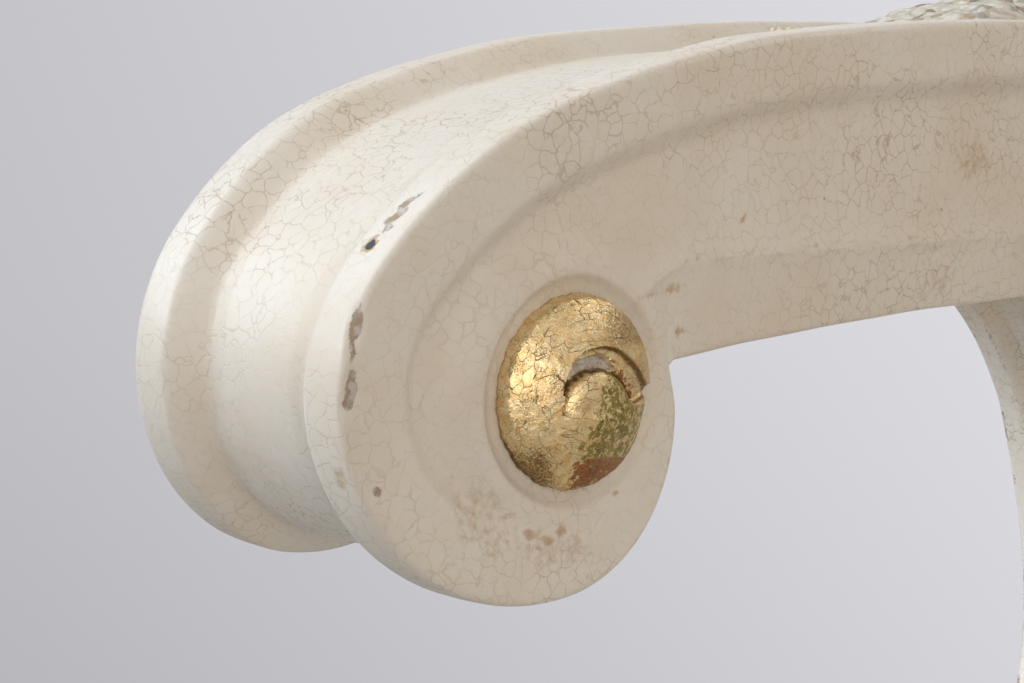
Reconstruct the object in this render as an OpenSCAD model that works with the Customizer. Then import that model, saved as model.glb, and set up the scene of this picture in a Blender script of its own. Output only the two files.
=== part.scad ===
// Painted armchair with scrolled arms, gilt bosses, a loose seat and an upholstered back.
// It faces -Y and stands on z = 0. Right and left are the sitter's, so the right arm is at -X.

/* [Arm scroll] */
// Full width of the arm behind the scroll
arm_width = 67; // [65:1:70]
// Radii of the arcs that follow each other from the arm's top round to the underside
scroll_radii = [1120, 276, 83, 34, 41.6, 28.2]; // [20:0.1:1200]
// Turn of each arc, in degrees
scroll_turns = [4.6, 12.7, 31, 80.6, 59.6, 101]; // [2:0.1:110]
// Height of the arm's top above the boss, where the first arc starts
scroll_rise = 63.7; // [62:0.1:66]
// Distance behind the boss at which the first arc starts
scroll_start = 150; // [145:1:155]
// Narrowing of the half width towards the scroll's tip, per square millimetre of distance
tip_narrowing = 0.0012; // [0.0004:0.0001:0.0014]
// Width of each raised rim along the arm's top
rim_width = 12; // [11:0.5:13]
// Depth of the flat between the rims
flat_depth = 3.5; // [2:0.1:4]
// Width of the raised band along the edge of the side face
band_width = 13; // [11:0.5:14]
// Depth of the hollow channel in the side face
channel_depth = 3; // [2:0.1:4]

/* [Boss] */
// Diameter of the gilt boss
boss_diameter = 32.5; // [31:0.5:34]
// Height of the boss's dome above its edge
boss_rise = 5.5; // [4.5:0.5:6]
// Diameter of the recess that the boss sits in
recess_diameter = 37.5; // [36:0.5:38]
// Depth of the recess
recess_depth = 1.5; // [1.4:0.1:2]
// Diameter of the boss's spigot
spigot_diameter = 9; // [7:0.5:11]

/* [Placing] */
// Distance from the chair's middle to the middle of an arm
arm_mid = 280; // [276:1:290]
// Height of the boss's centre above the floor
boss_height = 600; // [595:1:610]
// Distance from the front of the legs back to the boss's centre
boss_setback = 80; // [75:1:90]

/* [Seat frame] */
// Height of the rails' top edge
seat_height = 372; // [368:1:376]
// Height of a rail
rail_height = 68; // [64:1:72]
// Thickness of a rail
rail_thick = 46; // [44:1:47]
// Side of the square block at the top of a front leg
block_side = 56; // [54:1:60]
// Distance from the front of the legs back to the front of the back posts
post_front = 485; // [475:1:495]

/* [Back] */
// Width of a back post
post_width = 50; // [46:1:52]
// Depth of a back post
post_depth = 46; // [44:1:50]
// Height of the back posts
post_height = 985; // [960:1:1010]
// Lean of the back, in degrees
back_lean = 10; // [8:0.5:12]
// Sweep of a back leg's foot behind the seat
foot_sweep = 68; // [50:1:75]
// Thickness of the crest rail and the lower back rail
back_rail_thick = 32; // [28:1:34]
// Height of the crest rail at its ends
crest_height = 58; // [54:1:64]
// Rise of the crest rail's arch
crest_arch = 22; // [14:1:28]

/* [Upholstery] */
// Height of the seat cushion's middle above the rails
cushion_rise = 76; // [66:1:80]
// Height of an arm pad above the flat of the arm
pad_rise = 15; // [12:1:18]
// Length of an arm pad
pad_length = 235; // [210:1:240]
// Distance from the boss back to the pad's front end
pad_setback = 112; // [110:1:120]

/* [Hidden] */
$fn = 64;
step = 6;                      // degrees between the points of an outline's arcs
fit = 0.1;                     // room round a dowel or spigot, on the radius
clear = 1;                     // room round loose and soft pieces
past = 5;                      // how far a cutting shape runs past what it cuts

half_arm = arm_width / 2;
block_mid = block_side / 2;
rail_bottom = seat_height - rail_height;
rail_middle = seat_height - rail_height / 2;
inner_x = arm_mid - rail_thick / 2;          // inner face of a side rail
outer_x = arm_mid + rail_thick / 2;
block_x = arm_mid - block_mid;               // inner face of a leg block
post_x = arm_mid - post_width / 2;           // inner face of a back post
rail_front = 2;                              // front rail's face behind the blocks' front
front_inner = rail_front + rail_thick;

// The back leans from a hinge line at the front of the posts, just above the seat
joint_room = 14;
post_low = rail_bottom - joint_room;
post_high = seat_height + joint_room;
lean_rise = post_height - post_high;
lean_long = lean_rise / cos(back_lean);
rear_most = post_front + lean_rise * tan(back_lean) + post_depth;
shift_y = -rear_most / 2;                    // centres the chair's box on the origin

glide_r = 11;
glide_height = 5;
glide_spike = 12;
dowel_r = 5;
dowel_long = 56;
dowel_spread = 17;                           // height of a rail dowel off the rail's middle
arm_dowel_r = 6;
arm_dowel_long = 50;
screw_r = 2.2;
screw_head_r = 4.5;
screw_long = 42;

rabbet = 14;                                 // step in the rails that carries the slip seat
slip_thick = 20;
slip_width = 52;
slip_low = seat_height - rabbet;
slip_top = slip_low + slip_thick;
slip_half = inner_x + rabbet - clear;
slip_front = front_inner - rabbet + clear;
slip_back = post_front - clear;
web_thick = 2;
web_width = 50;
web_count = 4;
panel_thick = 6;
corner_side = 62;
corner_thick = 34;
cushion_low = slip_top + web_thick;

// ---- Outlines ----

function arc(centre, r, from, to) =
    let (n = ceil(abs(to - from) / step))
    [for (i = [0 : n]) let (a = from + (to - from) * i / n) centre + r * [cos(a), sin(a)]];

// The scroll's arcs touch end to end: each one's centre lies on the line through the last joint
function arc_start(i) = i == 0 ? 90 : arc_start(i - 1) + scroll_turns[i - 1];
function arc_centre(i) =
    i == 0 ? [scroll_start, scroll_rise - scroll_radii[0]]
           : arc_centre(i - 1) + (scroll_radii[i - 1] - scroll_radii[i])
               * [cos(arc_start(i)), sin(arc_start(i))];
function scroll_edge(inset, last) =
    [for (i = [0 : last])
        each arc(arc_centre(i), scroll_radii[i] - inset, arc_start(i), arc_start(i) + scroll_turns[i])];

// Front of the leaning post at a height above the boss, as a distance behind the boss
function post_face(z) = post_front - boss_setback + (boss_height + z - post_high) * tan(back_lean);

// Underside of the arm, from the notch where the scroll ends back to where it turns level
under_rise = 7.2;
under_level = 130;
notch_y = 25;
notch_drop = 4.2;
function underside() =
    [for (y = [notch_y : 15 : under_level])
        [y, under_rise - notch_drop * pow((under_level - y) / (under_level - notch_y), 2)]];

function arm_outline(inset) = concat(
    [[post_face(scroll_rise - inset), scroll_rise - inset]],
    scroll_edge(inset, 5),
    underside(),
    [[post_face(under_rise), under_rise]]);

// The hollow in the side face runs along the arm, curls round the boss and fades below it
channel_inner = recess_diameter / 2 + 1.5;
channel_fade = 290;
channel_stop = 16;
channel_outline = concat(
    [[post_face(scroll_rise - band_width) - channel_stop, scroll_rise - band_width]],
    scroll_edge(band_width, 4),
    arc([0, 0], channel_inner, channel_fade, 45),
    [[post_face(under_rise + band_width) - channel_stop, under_rise + band_width]]);

// Half the arm's width at a distance behind the boss, narrower at the scroll's tip and at the post
narrow_from = 23;
face_tilt = atan(2 * tip_narrowing * narrow_from);
post_blend = 110;
blend_from = post_face(0) - post_blend;
function ease(share) = (1 - cos(180 * min(1, max(0, share)))) / 2;
function arm_half(y) =
    half_arm
    - tip_narrowing * pow(max(0, narrow_from - y), 2)
    - (half_arm - post_width / 2) * ease((y - blend_from) / post_blend);
plan_side = concat(
    [for (y = [-57 : 8 : narrow_from]) [arm_half(y), y]],
    [for (y = [blend_from : post_blend / 10 : post_face(scroll_rise) + 12]) [arm_half(y), y]]);
function plan_outline(inset) = concat(
    [for (p = plan_side) [p[0] - inset, p[1]]],
    [for (i = [len(plan_side) - 1 : -1 : 0]) [inset - plan_side[i][0], plan_side[i][1]]]);

// The support: hollow towards the front, then a counter-curve down to the side rail
support_r = 80;
support_deep = 46;
support_centre = [149.5, -67];
support_turn = 55;
counter_centre = support_centre + (support_r + 2 * support_deep) * [cos(support_turn), -sin(support_turn)];
support_foot = seat_height - boss_height;
support_rim = rim_width * 0.7;
function support_top(r) = asin((under_rise - support_centre[1]) / r);
function support_line(sink) = concat(
    arc(support_centre, support_r + sink, support_top(support_r + sink), -support_turn),
    arc(counter_centre, 2 * support_deep - sink, 180 - support_turn, 180),
    [[counter_centre[0] - 2 * support_deep + sink, support_foot]]);
support_back = let (line = support_line(support_deep)) [for (i = [len(line) - 1 : -1 : 0]) line[i]];

// Seen from the front the support narrows from the arm's width to the rail's outer part
taper_low = -130;
taper_high = -35;
foot_in = inner_x + rabbet - arm_mid;
foot_out = outer_x - arm_mid;
taper_steps = [for (i = [0 : 10]) taper_low + (taper_high - taper_low) * i / 10];
function taper(z) = ease((z - taper_low) / (taper_high - taper_low));
function support_front(inset) = concat(
    [[foot_in + inset, support_foot - past]],
    [for (z = taper_steps) [foot_in + inset + (-half_arm - foot_in) * taper(z), z]],
    [[inset - half_arm, under_rise + past], [half_arm - inset, under_rise + past]],
    [for (i = [10 : -1 : 0]) let (z = taper_steps[i])
        [foot_out - inset + (half_arm - foot_out) * taper(z), z]],
    [[foot_out - inset, support_foot - past]]);

// ---- Placing ----

module placed() translate([0, shift_y, 0]) children();

// Draws a (back, up) outline and gives it a width across the chair
module across(width) rotate([90, 0, 90]) linear_extrude(width, center = true) children();

// Puts a shape for the left arm, drawn from its boss's centre, on the side asked for
module at_arm(side)
    placed()
        mirror([side == "right" ? 1 : 0, 0, 0])
            translate([arm_mid, boss_setback, boss_height])
                children();

// Puts a shape on a scroll's face: face is 1 for the outer face and -1 for the inner one
module on_face(face)
    mirror([face < 0 ? 1 : 0, 0, 0])
        translate([arm_half(0), 0, 0])
            rotate([0, 0, -face_tilt])
                rotate([90, 0, 90])
                    children();

// Tilts a shape drawn with z up the back from the hinge line and y behind the posts' front
module leaning()
    placed() translate([0, post_front, post_high]) rotate([-back_lean, 0, 0]) children();

module both_sides() {
    children();
    mirror([1, 0, 0]) children();
}

module along_x(r, length) rotate([0, 90, 0]) cylinder(length, r = r, center = true);
module along_y(r, length) rotate([90, 0, 0]) cylinder(length, r = r, center = true);

// ---- Arms ----

module arm_plan(inset)
    translate([0, 0, -60]) linear_extrude(150) polygon(plan_outline(inset));

module arm(side) {
    color("ivory")
    difference() {
        at_arm(side)
            difference() {
                union() {
                    intersection() {
                        across(2 * arm_width) polygon(arm_outline(flat_depth));
                        arm_plan(0);
                    }
                    intersection() {
                        across(2 * arm_width) polygon(arm_outline(0));
                        difference() {
                            arm_plan(0);
                            arm_plan(rim_width);
                        }
                    }
                }
                difference() {
                    across(2 * arm_width) polygon(channel_outline);
                    arm_plan(channel_depth);
                }
                for (face = [-1, 1]) on_face(face) {
                    translate([0, 0, -recess_depth])
                        cylinder(recess_depth + past, d = recess_diameter);
                    translate([0, 0, -recess_depth - spigot_length - clear])
                        cylinder(spigot_length + past, r = spigot_diameter / 2 + fit);
                }
            }
        at_arm(side) arm_dowels_at(fit);
        at_arm(side) post_dowel_at(fit);
    }
}

spigot_length = 12;
boss_edge = 1.8;               // height of the boss's rim off the recess's floor
dome_r = (pow(boss_diameter / 2, 2) + pow(boss_rise, 2)) / (2 * boss_rise);
dome_angle = asin(boss_diameter / 2 / dome_r);

// The boss is carved as a curl: a hooked outer lobe, a crescent groove and an inner lobe
module boss(side, face) {
    color("goldenrod")
    at_arm(side) on_face(face)
        mirror([face > 0 ? 1 : 0, 0, 0])
        translate([0, 0, -recess_depth])
            difference() {
                union() {
                    rotate_extrude()
                        polygon(concat(
                            [[0, 0], [boss_diameter / 2, 0]],
                            arc([0, boss_edge + boss_rise - dome_r], dome_r,
                                90 - dome_angle, 90)));
                    translate([0, 0, -spigot_length]) cylinder(spigot_length, d = spigot_diameter);
                }
                translate([0, 0, boss_edge - 0.8]) linear_extrude(boss_rise + past)
                    difference() {
                        translate([6.5, -4.5]) circle(10);
                        translate([6.5, -6.2]) circle(9.6);
                        translate([-10, -30]) square([30, 24]);
                    }
            }
}

// ---- Arm supports ----

module arm_support(side) {
    color("ivory")
    difference() {
        at_arm(side)
            union() {
                intersection() {
                    across(2 * arm_width) polygon(concat(support_line(flat_depth), support_back));
                    support_slab(0);
                }
                intersection() {
                    across(2 * arm_width) polygon(concat(support_line(0), support_back));
                    difference() {
                        support_slab(0);
                        support_slab(support_rim);
                    }
                }
            }
        at_arm(side) arm_dowels_at(fit);
        support_foot_dowels_at(side, fit);
    }
}

module support_slab(inset)
    rotate([90, 0, 0]) linear_extrude(700, center = true) polygon(support_front(inset));

// ---- Arm pads ----

pad_half = half_arm - rim_width - 5;
pad_low = scroll_rise - flat_depth + 0.2;
braid_wide = 4;
braid_thick = 2;

module arm_pad(side) {
    color("linen")
    at_arm(side)
        translate([0, pad_setback, pad_low])
            intersection() {
                across(2 * pad_half)
                    polygon(concat(
                        [[0, 0], [pad_length, 0]],
                        [for (i = [10 : -1 : -10]) let (t = i / 10)
                            [pad_length * (1 + t) / 2, 3 + (pad_rise - 3) * (1 - pow(abs(t), 1.8))]]));
                rotate([90, 0, 0]) linear_extrude(3 * pad_length, center = true)
                    polygon(concat(
                        [[pad_half, 0], [-pad_half, 0]],
                        [for (i = [-8 : 8]) let (t = i / 8)
                            [pad_half * t, 2.5 + (pad_rise - 2.5) * sqrt(1 - 0.97 * t * t)]]));
            }
}

module arm_pad_braid(side) {
    color("wheat")
    at_arm(side)
        translate([0, pad_setback, pad_low])
            linear_extrude(braid_thick)
                difference() {
                    translate([-pad_half - braid_wide - 0.2, -braid_wide - 0.2])
                        square([2 * (pad_half + braid_wide + 0.2), pad_length + 2 * (braid_wide + 0.2)]);
                    translate([-pad_half - 0.2, -0.2])
                        square([2 * (pad_half + 0.2), pad_length + 0.4]);
                }
}

// ---- Front legs ----

leg_top = rail_bottom - 8;     // the square block reaches a little below the rail
leg_shoulder_r = 24;
leg_foot_r = 12.5;
flute_count = 12;
flute_r = 3.6;
flute_low = 62;
flute_high = leg_top - 42;

// Profile of the turned part, from the glide up to the block
leg_profile = concat(
    [[0, glide_height], [leg_foot_r - 3, glide_height], [leg_foot_r, glide_height + 10],
     [leg_foot_r - 2.5, 30], [leg_foot_r - 2.5, 34]],
    arc([leg_foot_r - 1, 42], 6, -90, 90),
    [[leg_foot_r + 1, 50], [leg_shoulder_r, leg_top - 34], [leg_shoulder_r - 3, leg_top - 32]],
    arc([leg_shoulder_r - 2, leg_top - 25], 6, -90, 90),
    arc([leg_shoulder_r + 1, leg_top - 12], -7, 90, -90),
    [[leg_shoulder_r + 2, leg_top - 4], [leg_shoulder_r + 2, leg_top], [0, leg_top]]);

module front_leg(side) {
    color("ivory")
    difference() {
        placed() mirror([side == "right" ? 1 : 0, 0, 0])
            translate([arm_mid, block_mid, 0])
                difference() {
                    union() {
                        rotate_extrude() polygon(leg_profile);
                        translate([-block_mid, -block_mid, leg_top])
                            cube([block_side, block_side, seat_height - leg_top]);
                    }
                    for (i = [0 : flute_count - 1]) rotate([0, 0, 360 * i / flute_count])
                        translate([leg_foot_r + 3.2, 0, flute_low])
                            rotate([0, flute_lean, 0])
                                cylinder((flute_high - flute_low) / cos(flute_lean), r = flute_r);
                    translate([0, 0, glide_height - 1])
                        cylinder(glide_spike + 1 + clear, r = 1.5 + fit);
                }
        slip_room();
        rail_dowels_at(fit);
    }
}

flute_lean = atan((leg_shoulder_r - leg_foot_r - 1.4) / (leg_top - 84));

// ---- Seat frame ----

// The room that the slip seat drops into
module slip_room()
    placed()
        translate([-slip_half - clear, slip_front - clear, slip_low])
            cube([2 * (slip_half + clear), slip_back + 2 * clear - slip_front, rabbet + past]);

module back_rabbet()
    placed()
        translate([-post_x - clear, post_front - 2 * clear, slip_low])
            cube([2 * (post_x + clear), 2 * clear + rabbet, rabbet + past]);

module front_rail() {
    color("ivory")
    difference() {
        placed() translate([-block_x, rail_front, rail_bottom])
            cube([2 * block_x, rail_thick, rail_height]);
        slip_room();
        rail_dowels_at(fit);
        corner_screws_at(fit);
    }
}

module back_rail() {
    color("ivory")
    difference() {
        placed() translate([-post_x, post_front, rail_bottom])
            cube([2 * post_x, rail_thick, rail_height]);
        back_rabbet();
        rail_dowels_at(fit);
        corner_screws_at(fit);
    }
}

module side_rail(side) {
    color("ivory")
    difference() {
        placed() mirror([side == "right" ? 1 : 0, 0, 0])
            translate([inner_x, block_side, rail_bottom])
                cube([rail_thick, post_front - block_side, rail_height]);
        slip_room();
        rail_dowels_at(fit);
        corner_screws_at(fit);
        support_foot_dowels_at(side, fit);
    }
}

// A corner block is a triangle behind two rails, with the leg's corner cut out of it
module corner_block(side, end) {
    corner_y = end == "front" ? front_inner : post_front;
    lean = end == "front" ? 1 : -1;
    color("burlywood")
    difference() {
        placed() mirror([side == "right" ? 1 : 0, 0, 0])
            translate([0, 0, rail_middle - 26])
                linear_extrude(corner_thick)
                    difference() {
                        polygon([
                            [inner_x, corner_y],
                            [inner_x - corner_side, corner_y],
                            [inner_x, corner_y + lean * corner_side]]);
                        translate([block_x - clear, 0]) square([block_side, block_side + clear]);
                        translate([post_x - clear, post_front - clear]) square(post_width);
                    }
        corner_screws_at(fit);
    }
}

// ---- Back ----

// The post is a back leg and a back upright in one: it sweeps back below the seat and leans above
leg_steps = 12;
foot_taper = 14;
post_outline = concat(
    [for (i = [0 : leg_steps]) let (t = i / leg_steps)
        [post_front + foot_sweep * pow(1 - t, 1.8), glide_height + (post_low - glide_height) * t]],
    [[post_front, post_high],
     [post_front + lean_rise * tan(back_lean), post_height],
     [post_front + lean_rise * tan(back_lean) + post_depth, post_height],
     [post_front + post_depth, post_high]],
    [for (i = [leg_steps : -1 : 0]) let (t = i / leg_steps)
        [post_front + post_depth - foot_taper * (1 - t) + foot_sweep * pow(1 - t, 1.8),
         glide_height + (post_low - glide_height) * t]]);

module back_post(side) {
    color("ivory")
    difference() {
        placed() mirror([side == "right" ? 1 : 0, 0, 0])
            translate([arm_mid, 0, 0])
                difference() {
                    across(post_width) polygon(post_outline);
                    translate([0, foot_y, glide_height - 1])
                        cylinder(glide_spike + 1 + clear, r = 1.5 + fit);
                }
        rail_dowels_at(fit);
        back_dowels_at(fit);
        at_arm(side) post_dowel_at(fit);
    }
}

foot_y = post_front + foot_sweep + (post_depth - foot_taper) / 2;
lower_rail_low = 82;
lower_rail_height = 46;
crest_low = lean_long - crest_height - 4;
opening_low = lower_rail_low + lower_rail_height;
arch_r = (pow(post_x, 2) + pow(crest_arch, 2)) / (2 * crest_arch);
arch_angle = asin(post_x / arch_r);

module crest_rail() {
    color("ivory")
    difference() {
        leaning() translate([0, back_rail_thick, crest_low]) rotate([90, 0, 0])
            linear_extrude(back_rail_thick)
                polygon(concat(
                    [[-post_x, 0], [post_x, 0]],
                    [for (i = [-12 : 12]) let (a = 90 + arch_angle * i / 12)
                        [arch_r * cos(a), crest_height + crest_arch - arch_r + arch_r * sin(a)]]));
        back_dowels_at(fit);
    }
}

module lower_back_rail() {
    color("ivory")
    difference() {
        leaning() translate([-post_x, 0, lower_rail_low])
            cube([2 * post_x, back_rail_thick, lower_rail_height]);
        back_dowels_at(fit);
    }
}

// ---- Joinery ----

module rail_dowels_at(extra)
    placed() both_sides() for (z = [rail_middle - dowel_spread, rail_middle + dowel_spread / 3]) {
        translate([block_x, front_inner - 20, z + 4]) along_x(dowel_r + extra, dowel_long);
        translate([post_x, post_front + 24, z + 4]) along_x(dowel_r + extra, dowel_long * 0.8);
        translate([arm_mid, block_side, z - 8]) along_y(dowel_r + extra, dowel_long * 0.8);
        translate([arm_mid, post_front, z - 8]) along_y(dowel_r + extra, dowel_long * 0.8);
    }

module back_dowels_at(extra)
    leaning() both_sides()
        for (z = [crest_low + 16, crest_low + 42, lower_rail_low + 12, lower_rail_low + 34])
            translate([post_x, back_rail_thick / 2, z]) along_x(dowel_r + extra, dowel_long * 0.8);

// Upright dowels between the arm and its support
module arm_dowels_at(extra)
    for (y = [202, 232]) translate([0, y, under_rise])
        cylinder(arm_dowel_long, r = arm_dowel_r + extra, center = true);

// One dowel from the end of the arm into the post
module post_dowel_at(extra)
    translate([0, post_face(scroll_rise * 0.55), scroll_rise * 0.55])
        along_y(arm_dowel_r + extra, arm_dowel_long);

module support_foot_dowels_at(side, extra)
    at_arm(side)
        for (y = [12, 34])
            translate([(foot_in + foot_out) / 2, counter_centre[0] - 2 * support_deep + y, support_foot])
                cylinder(arm_dowel_long, r = dowel_r + extra, center = true);

module rail_dowels() {
    color("burlywood") rail_dowels_at(0);
}

module back_dowels() {
    color("burlywood") back_dowels_at(0);
}

module arm_dowels() {
    color("burlywood")
    for (side = ["left", "right"]) {
        at_arm(side) arm_dowels_at(0);
        at_arm(side) post_dowel_at(0);
        support_foot_dowels_at(side, 0);
    }
}

// Two screws through each corner block, one into each rail
module corner_screws_at(extra)
    placed() both_sides() for (end = [0, 1]) {
        corner = end == 0 ? [inner_x, front_inner] : [inner_x, post_front];
        lean = end == 0 ? 1 : -1;
        translate([corner[0] - 40, corner[1] + lean * 22, rail_middle - 17])
            rotate([90 * lean, 0, 0]) screw(extra);
        translate([corner[0] - 22, corner[1] + lean * 40, rail_middle - 3])
            rotate([0, 90, 0]) screw(extra);
    }

// A screw lies from its head along +Z, with the head let into the wood
module screw(extra) {
    cylinder(screw_long, r = screw_r + extra / 2);
    cylinder(3, r = screw_head_r + extra);
    if (extra > 0) translate([0, 0, -30]) cylinder(31, r = screw_head_r + extra);
}

module corner_screws() {
    color("silver") corner_screws_at(0);
}

// Nail-on glides: a domed foot and a spike
module glides() {
    color("silver")
    placed() both_sides() for (y = [block_mid, foot_y])
        translate([arm_mid, y, 0]) {
            cylinder(glide_height - 2, r1 = glide_r - 3, r2 = glide_r);
            translate([0, 0, glide_height - 2]) cylinder(2, r = glide_r);
            cylinder(glide_height + glide_spike, r = 1.5);
        }
}

// ---- Slip seat ----

module slip_side_bar(side) {
    color("burlywood")
    placed() mirror([side == "right" ? 1 : 0, 0, 0])
        translate([slip_half - slip_width, slip_front, slip_low])
            cube([slip_width, slip_back - slip_front, slip_thick]);
}

module slip_cross_bar(end) {
    bar_y = end == "front" ? slip_front : slip_back - slip_width;
    color("burlywood")
    placed() translate([slip_width - slip_half, bar_y, slip_low])
        cube([2 * (slip_half - slip_width), slip_width, slip_thick]);
}

module seat_webbing() {
    long = slip_back - slip_front;
    color("tan")
    placed() translate([0, 0, slip_top]) linear_extrude(web_thick) {
        for (i = [0 : web_count - 1])
            translate([(i - (web_count - 1) / 2) * 2 * (slip_half - 30) / web_count - web_width / 2,
                slip_front + 8])
                square([web_width, long - 16]);
        for (i = [0 : web_count - 1])
            translate([8 - slip_half, slip_front + (i + 0.5) * long / web_count - web_width / 2])
                square([2 * (slip_half - 8), web_width]);
    }
}

// Edge and crown of the cushion: a share across runs from -1 to 1
function crown(share, edge, power) = edge + (1 - edge) * (1 - pow(abs(share), power));

module seat_cushion() {
    half = slip_half - clear;
    long = slip_back - slip_front - 2 * clear;
    rise = seat_height + cushion_rise - cushion_low;
    color("linen")
    placed() translate([0, slip_front + clear, cushion_low])
        intersection() {
            linear_extrude(rise) translate([0, long / 2])
                polygon(rounded(half, long / 2, 30));
            across(2 * half)
                polygon(concat([[0, 0], [long, 0]],
                    [for (i = [10 : -1 : -10]) [long * (1 + i / 10) / 2, rise * crown(i / 10, 0.66, 3)]]));
            rotate([90, 0, 0]) linear_extrude(4 * long, center = true)
                polygon(concat([[half, 0], [-half, 0]],
                    [for (i = [-10 : 10]) [half * i / 10, rise * crown(i / 10, 0.62, 3)]]));
        }
}

function rounded(x, y, r) = concat(
    arc([x - r, r - y], r, -90, 0),
    arc([x - r, y - r], r, 0, 90),
    arc([r - x, y - r], r, 90, 180),
    arc([r - x, r - y], r, 180, 270));

// ---- Back upholstery ----

opening_half = post_x - clear;
opening_high = crest_low - clear;
opening_foot = opening_low + clear;
back_web_y = 16;
pad_swell = 26;

module back_webbing() {
    tall = opening_high - opening_foot;
    color("tan")
    leaning() translate([0, back_web_y + web_thick, opening_foot]) rotate([90, 0, 0])
        linear_extrude(web_thick) {
            for (i = [0 : web_count - 1])
                translate([(i - (web_count - 1) / 2) * 2 * opening_half / web_count - web_width / 2, 0])
                    square([web_width, tall]);
            for (i = [0 : web_count])
                translate([-opening_half, i * (tall - web_width) / web_count])
                    square([2 * opening_half, web_width]);
        }
}

module back_cushion() {
    tall = opening_high - opening_foot;
    deep = pad_swell + back_web_y;
    color("linen")
    leaning() translate([0, back_web_y, opening_foot])
        intersection() {
            linear_extrude(tall)
                polygon(concat([[-opening_half, 0]],
                    [for (i = [-10 : 10]) [opening_half * i / 10, -deep * crown(i / 10, 0.4, 3)]],
                    [[opening_half, 0]]));
            across(2 * opening_half)
                polygon(concat([[0, 0]],
                    [for (i = [-10 : 10]) [-deep * crown(i / 10, 0.4, 3), tall * (1 + i / 10) / 2]],
                    [[0, tall]]));
        }
}

module outside_back() {
    color("linen")
    leaning() translate([-opening_half, back_rail_thick - panel_thick - 2, opening_foot])
        cube([2 * opening_half, panel_thick, opening_high - opening_foot]);
}

back_braid_wide = 10;

// The braid frames the back cushion and is cut where the arms meet the posts
module back_braid() {
    color("wheat")
    difference() {
        leaning() rotate([90, 0, 0]) linear_extrude(braid_thick)
            difference() {
                translate([-post_x - back_braid_wide, opening_low - back_braid_wide])
                    square([2 * (post_x + back_braid_wide), crest_low - opening_low + 2 * back_braid_wide]);
                translate([-post_x, opening_low]) square([2 * post_x, crest_low - opening_low]);
            }
        for (side = ["left", "right"]) at_arm(side)
            translate([-post_width / 2 - clear, post_face(0) - post_width, under_rise - clear])
                cube([post_width, 2 * post_width, scroll_rise - under_rise + 2 * clear]);
    }
}

arm("right");  // right_arm
arm("left");  // left_arm
arm_support("right");  // right_arm_support
arm_support("left");  // left_arm_support
boss("right", -1);  // right_inner_boss
boss("right", 1);  // right_outer_boss
boss("left", -1);  // left_inner_boss
boss("left", 1);  // left_outer_boss
arm_pad("right");  // right_arm_pad
arm_pad("left");  // left_arm_pad
arm_pad_braid("right");  // right_pad_braid
arm_pad_braid("left");  // left_pad_braid
front_leg("right");  // right_front_leg
front_leg("left");  // left_front_leg
back_post("right");  // right_back_post
back_post("left");  // left_back_post
front_rail();
back_rail();
side_rail("right");  // right_side_rail
side_rail("left");  // left_side_rail
corner_block("right", "front");  // right_front_corner_block
corner_block("left", "front");  // left_front_corner_block
corner_block("right", "back");  // right_back_corner_block
corner_block("left", "back");  // left_back_corner_block
crest_rail();
lower_back_rail();
rail_dowels();
back_dowels();
arm_dowels();
corner_screws();
glides();
slip_side_bar("right");  // right_slip_bar
slip_side_bar("left");  // left_slip_bar
slip_cross_bar("front");  // front_slip_bar
slip_cross_bar("back");  // back_slip_bar
seat_webbing();
seat_cushion();
back_webbing();
back_cushion();
outside_back();
back_braid();
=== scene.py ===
import math

import bmesh
import bpy
import numpy as np
from bpy.props import FloatProperty, FloatVectorProperty, IntProperty, PointerProperty
from mathutils import Euler, Matrix, Vector
from mathutils.bvhtree import BVHTree


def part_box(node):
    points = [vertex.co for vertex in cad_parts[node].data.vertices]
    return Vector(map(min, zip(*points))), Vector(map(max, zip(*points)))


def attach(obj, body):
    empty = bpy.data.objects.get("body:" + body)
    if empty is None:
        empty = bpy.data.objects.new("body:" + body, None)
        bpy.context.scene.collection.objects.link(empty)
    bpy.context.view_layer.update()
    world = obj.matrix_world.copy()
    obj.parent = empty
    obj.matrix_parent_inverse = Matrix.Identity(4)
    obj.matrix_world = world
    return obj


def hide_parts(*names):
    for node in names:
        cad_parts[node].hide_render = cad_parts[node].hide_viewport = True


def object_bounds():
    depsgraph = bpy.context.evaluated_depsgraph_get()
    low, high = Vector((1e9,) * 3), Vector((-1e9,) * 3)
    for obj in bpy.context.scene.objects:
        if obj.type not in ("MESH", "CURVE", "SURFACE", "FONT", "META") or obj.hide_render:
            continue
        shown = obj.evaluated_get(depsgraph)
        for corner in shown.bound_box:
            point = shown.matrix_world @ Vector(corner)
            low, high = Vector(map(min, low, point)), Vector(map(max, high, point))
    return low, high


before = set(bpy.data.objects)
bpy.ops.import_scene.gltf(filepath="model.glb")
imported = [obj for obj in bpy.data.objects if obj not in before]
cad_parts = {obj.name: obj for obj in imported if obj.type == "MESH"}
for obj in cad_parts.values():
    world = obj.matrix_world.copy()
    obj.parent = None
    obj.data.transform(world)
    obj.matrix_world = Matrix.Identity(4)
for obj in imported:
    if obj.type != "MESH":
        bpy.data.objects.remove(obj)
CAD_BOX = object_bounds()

bl_info = {
    "name": "Painted scroll armchair",
    "version": (1, 0, 0),
    "blender": (4, 5, 0),
    "location": "View3D > Sidebar > Armchair",
    "description": "Builds a worn, crackled cream armchair with gilt bosses round its CAD frame",
    "category": "Add Mesh",
}

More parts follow.
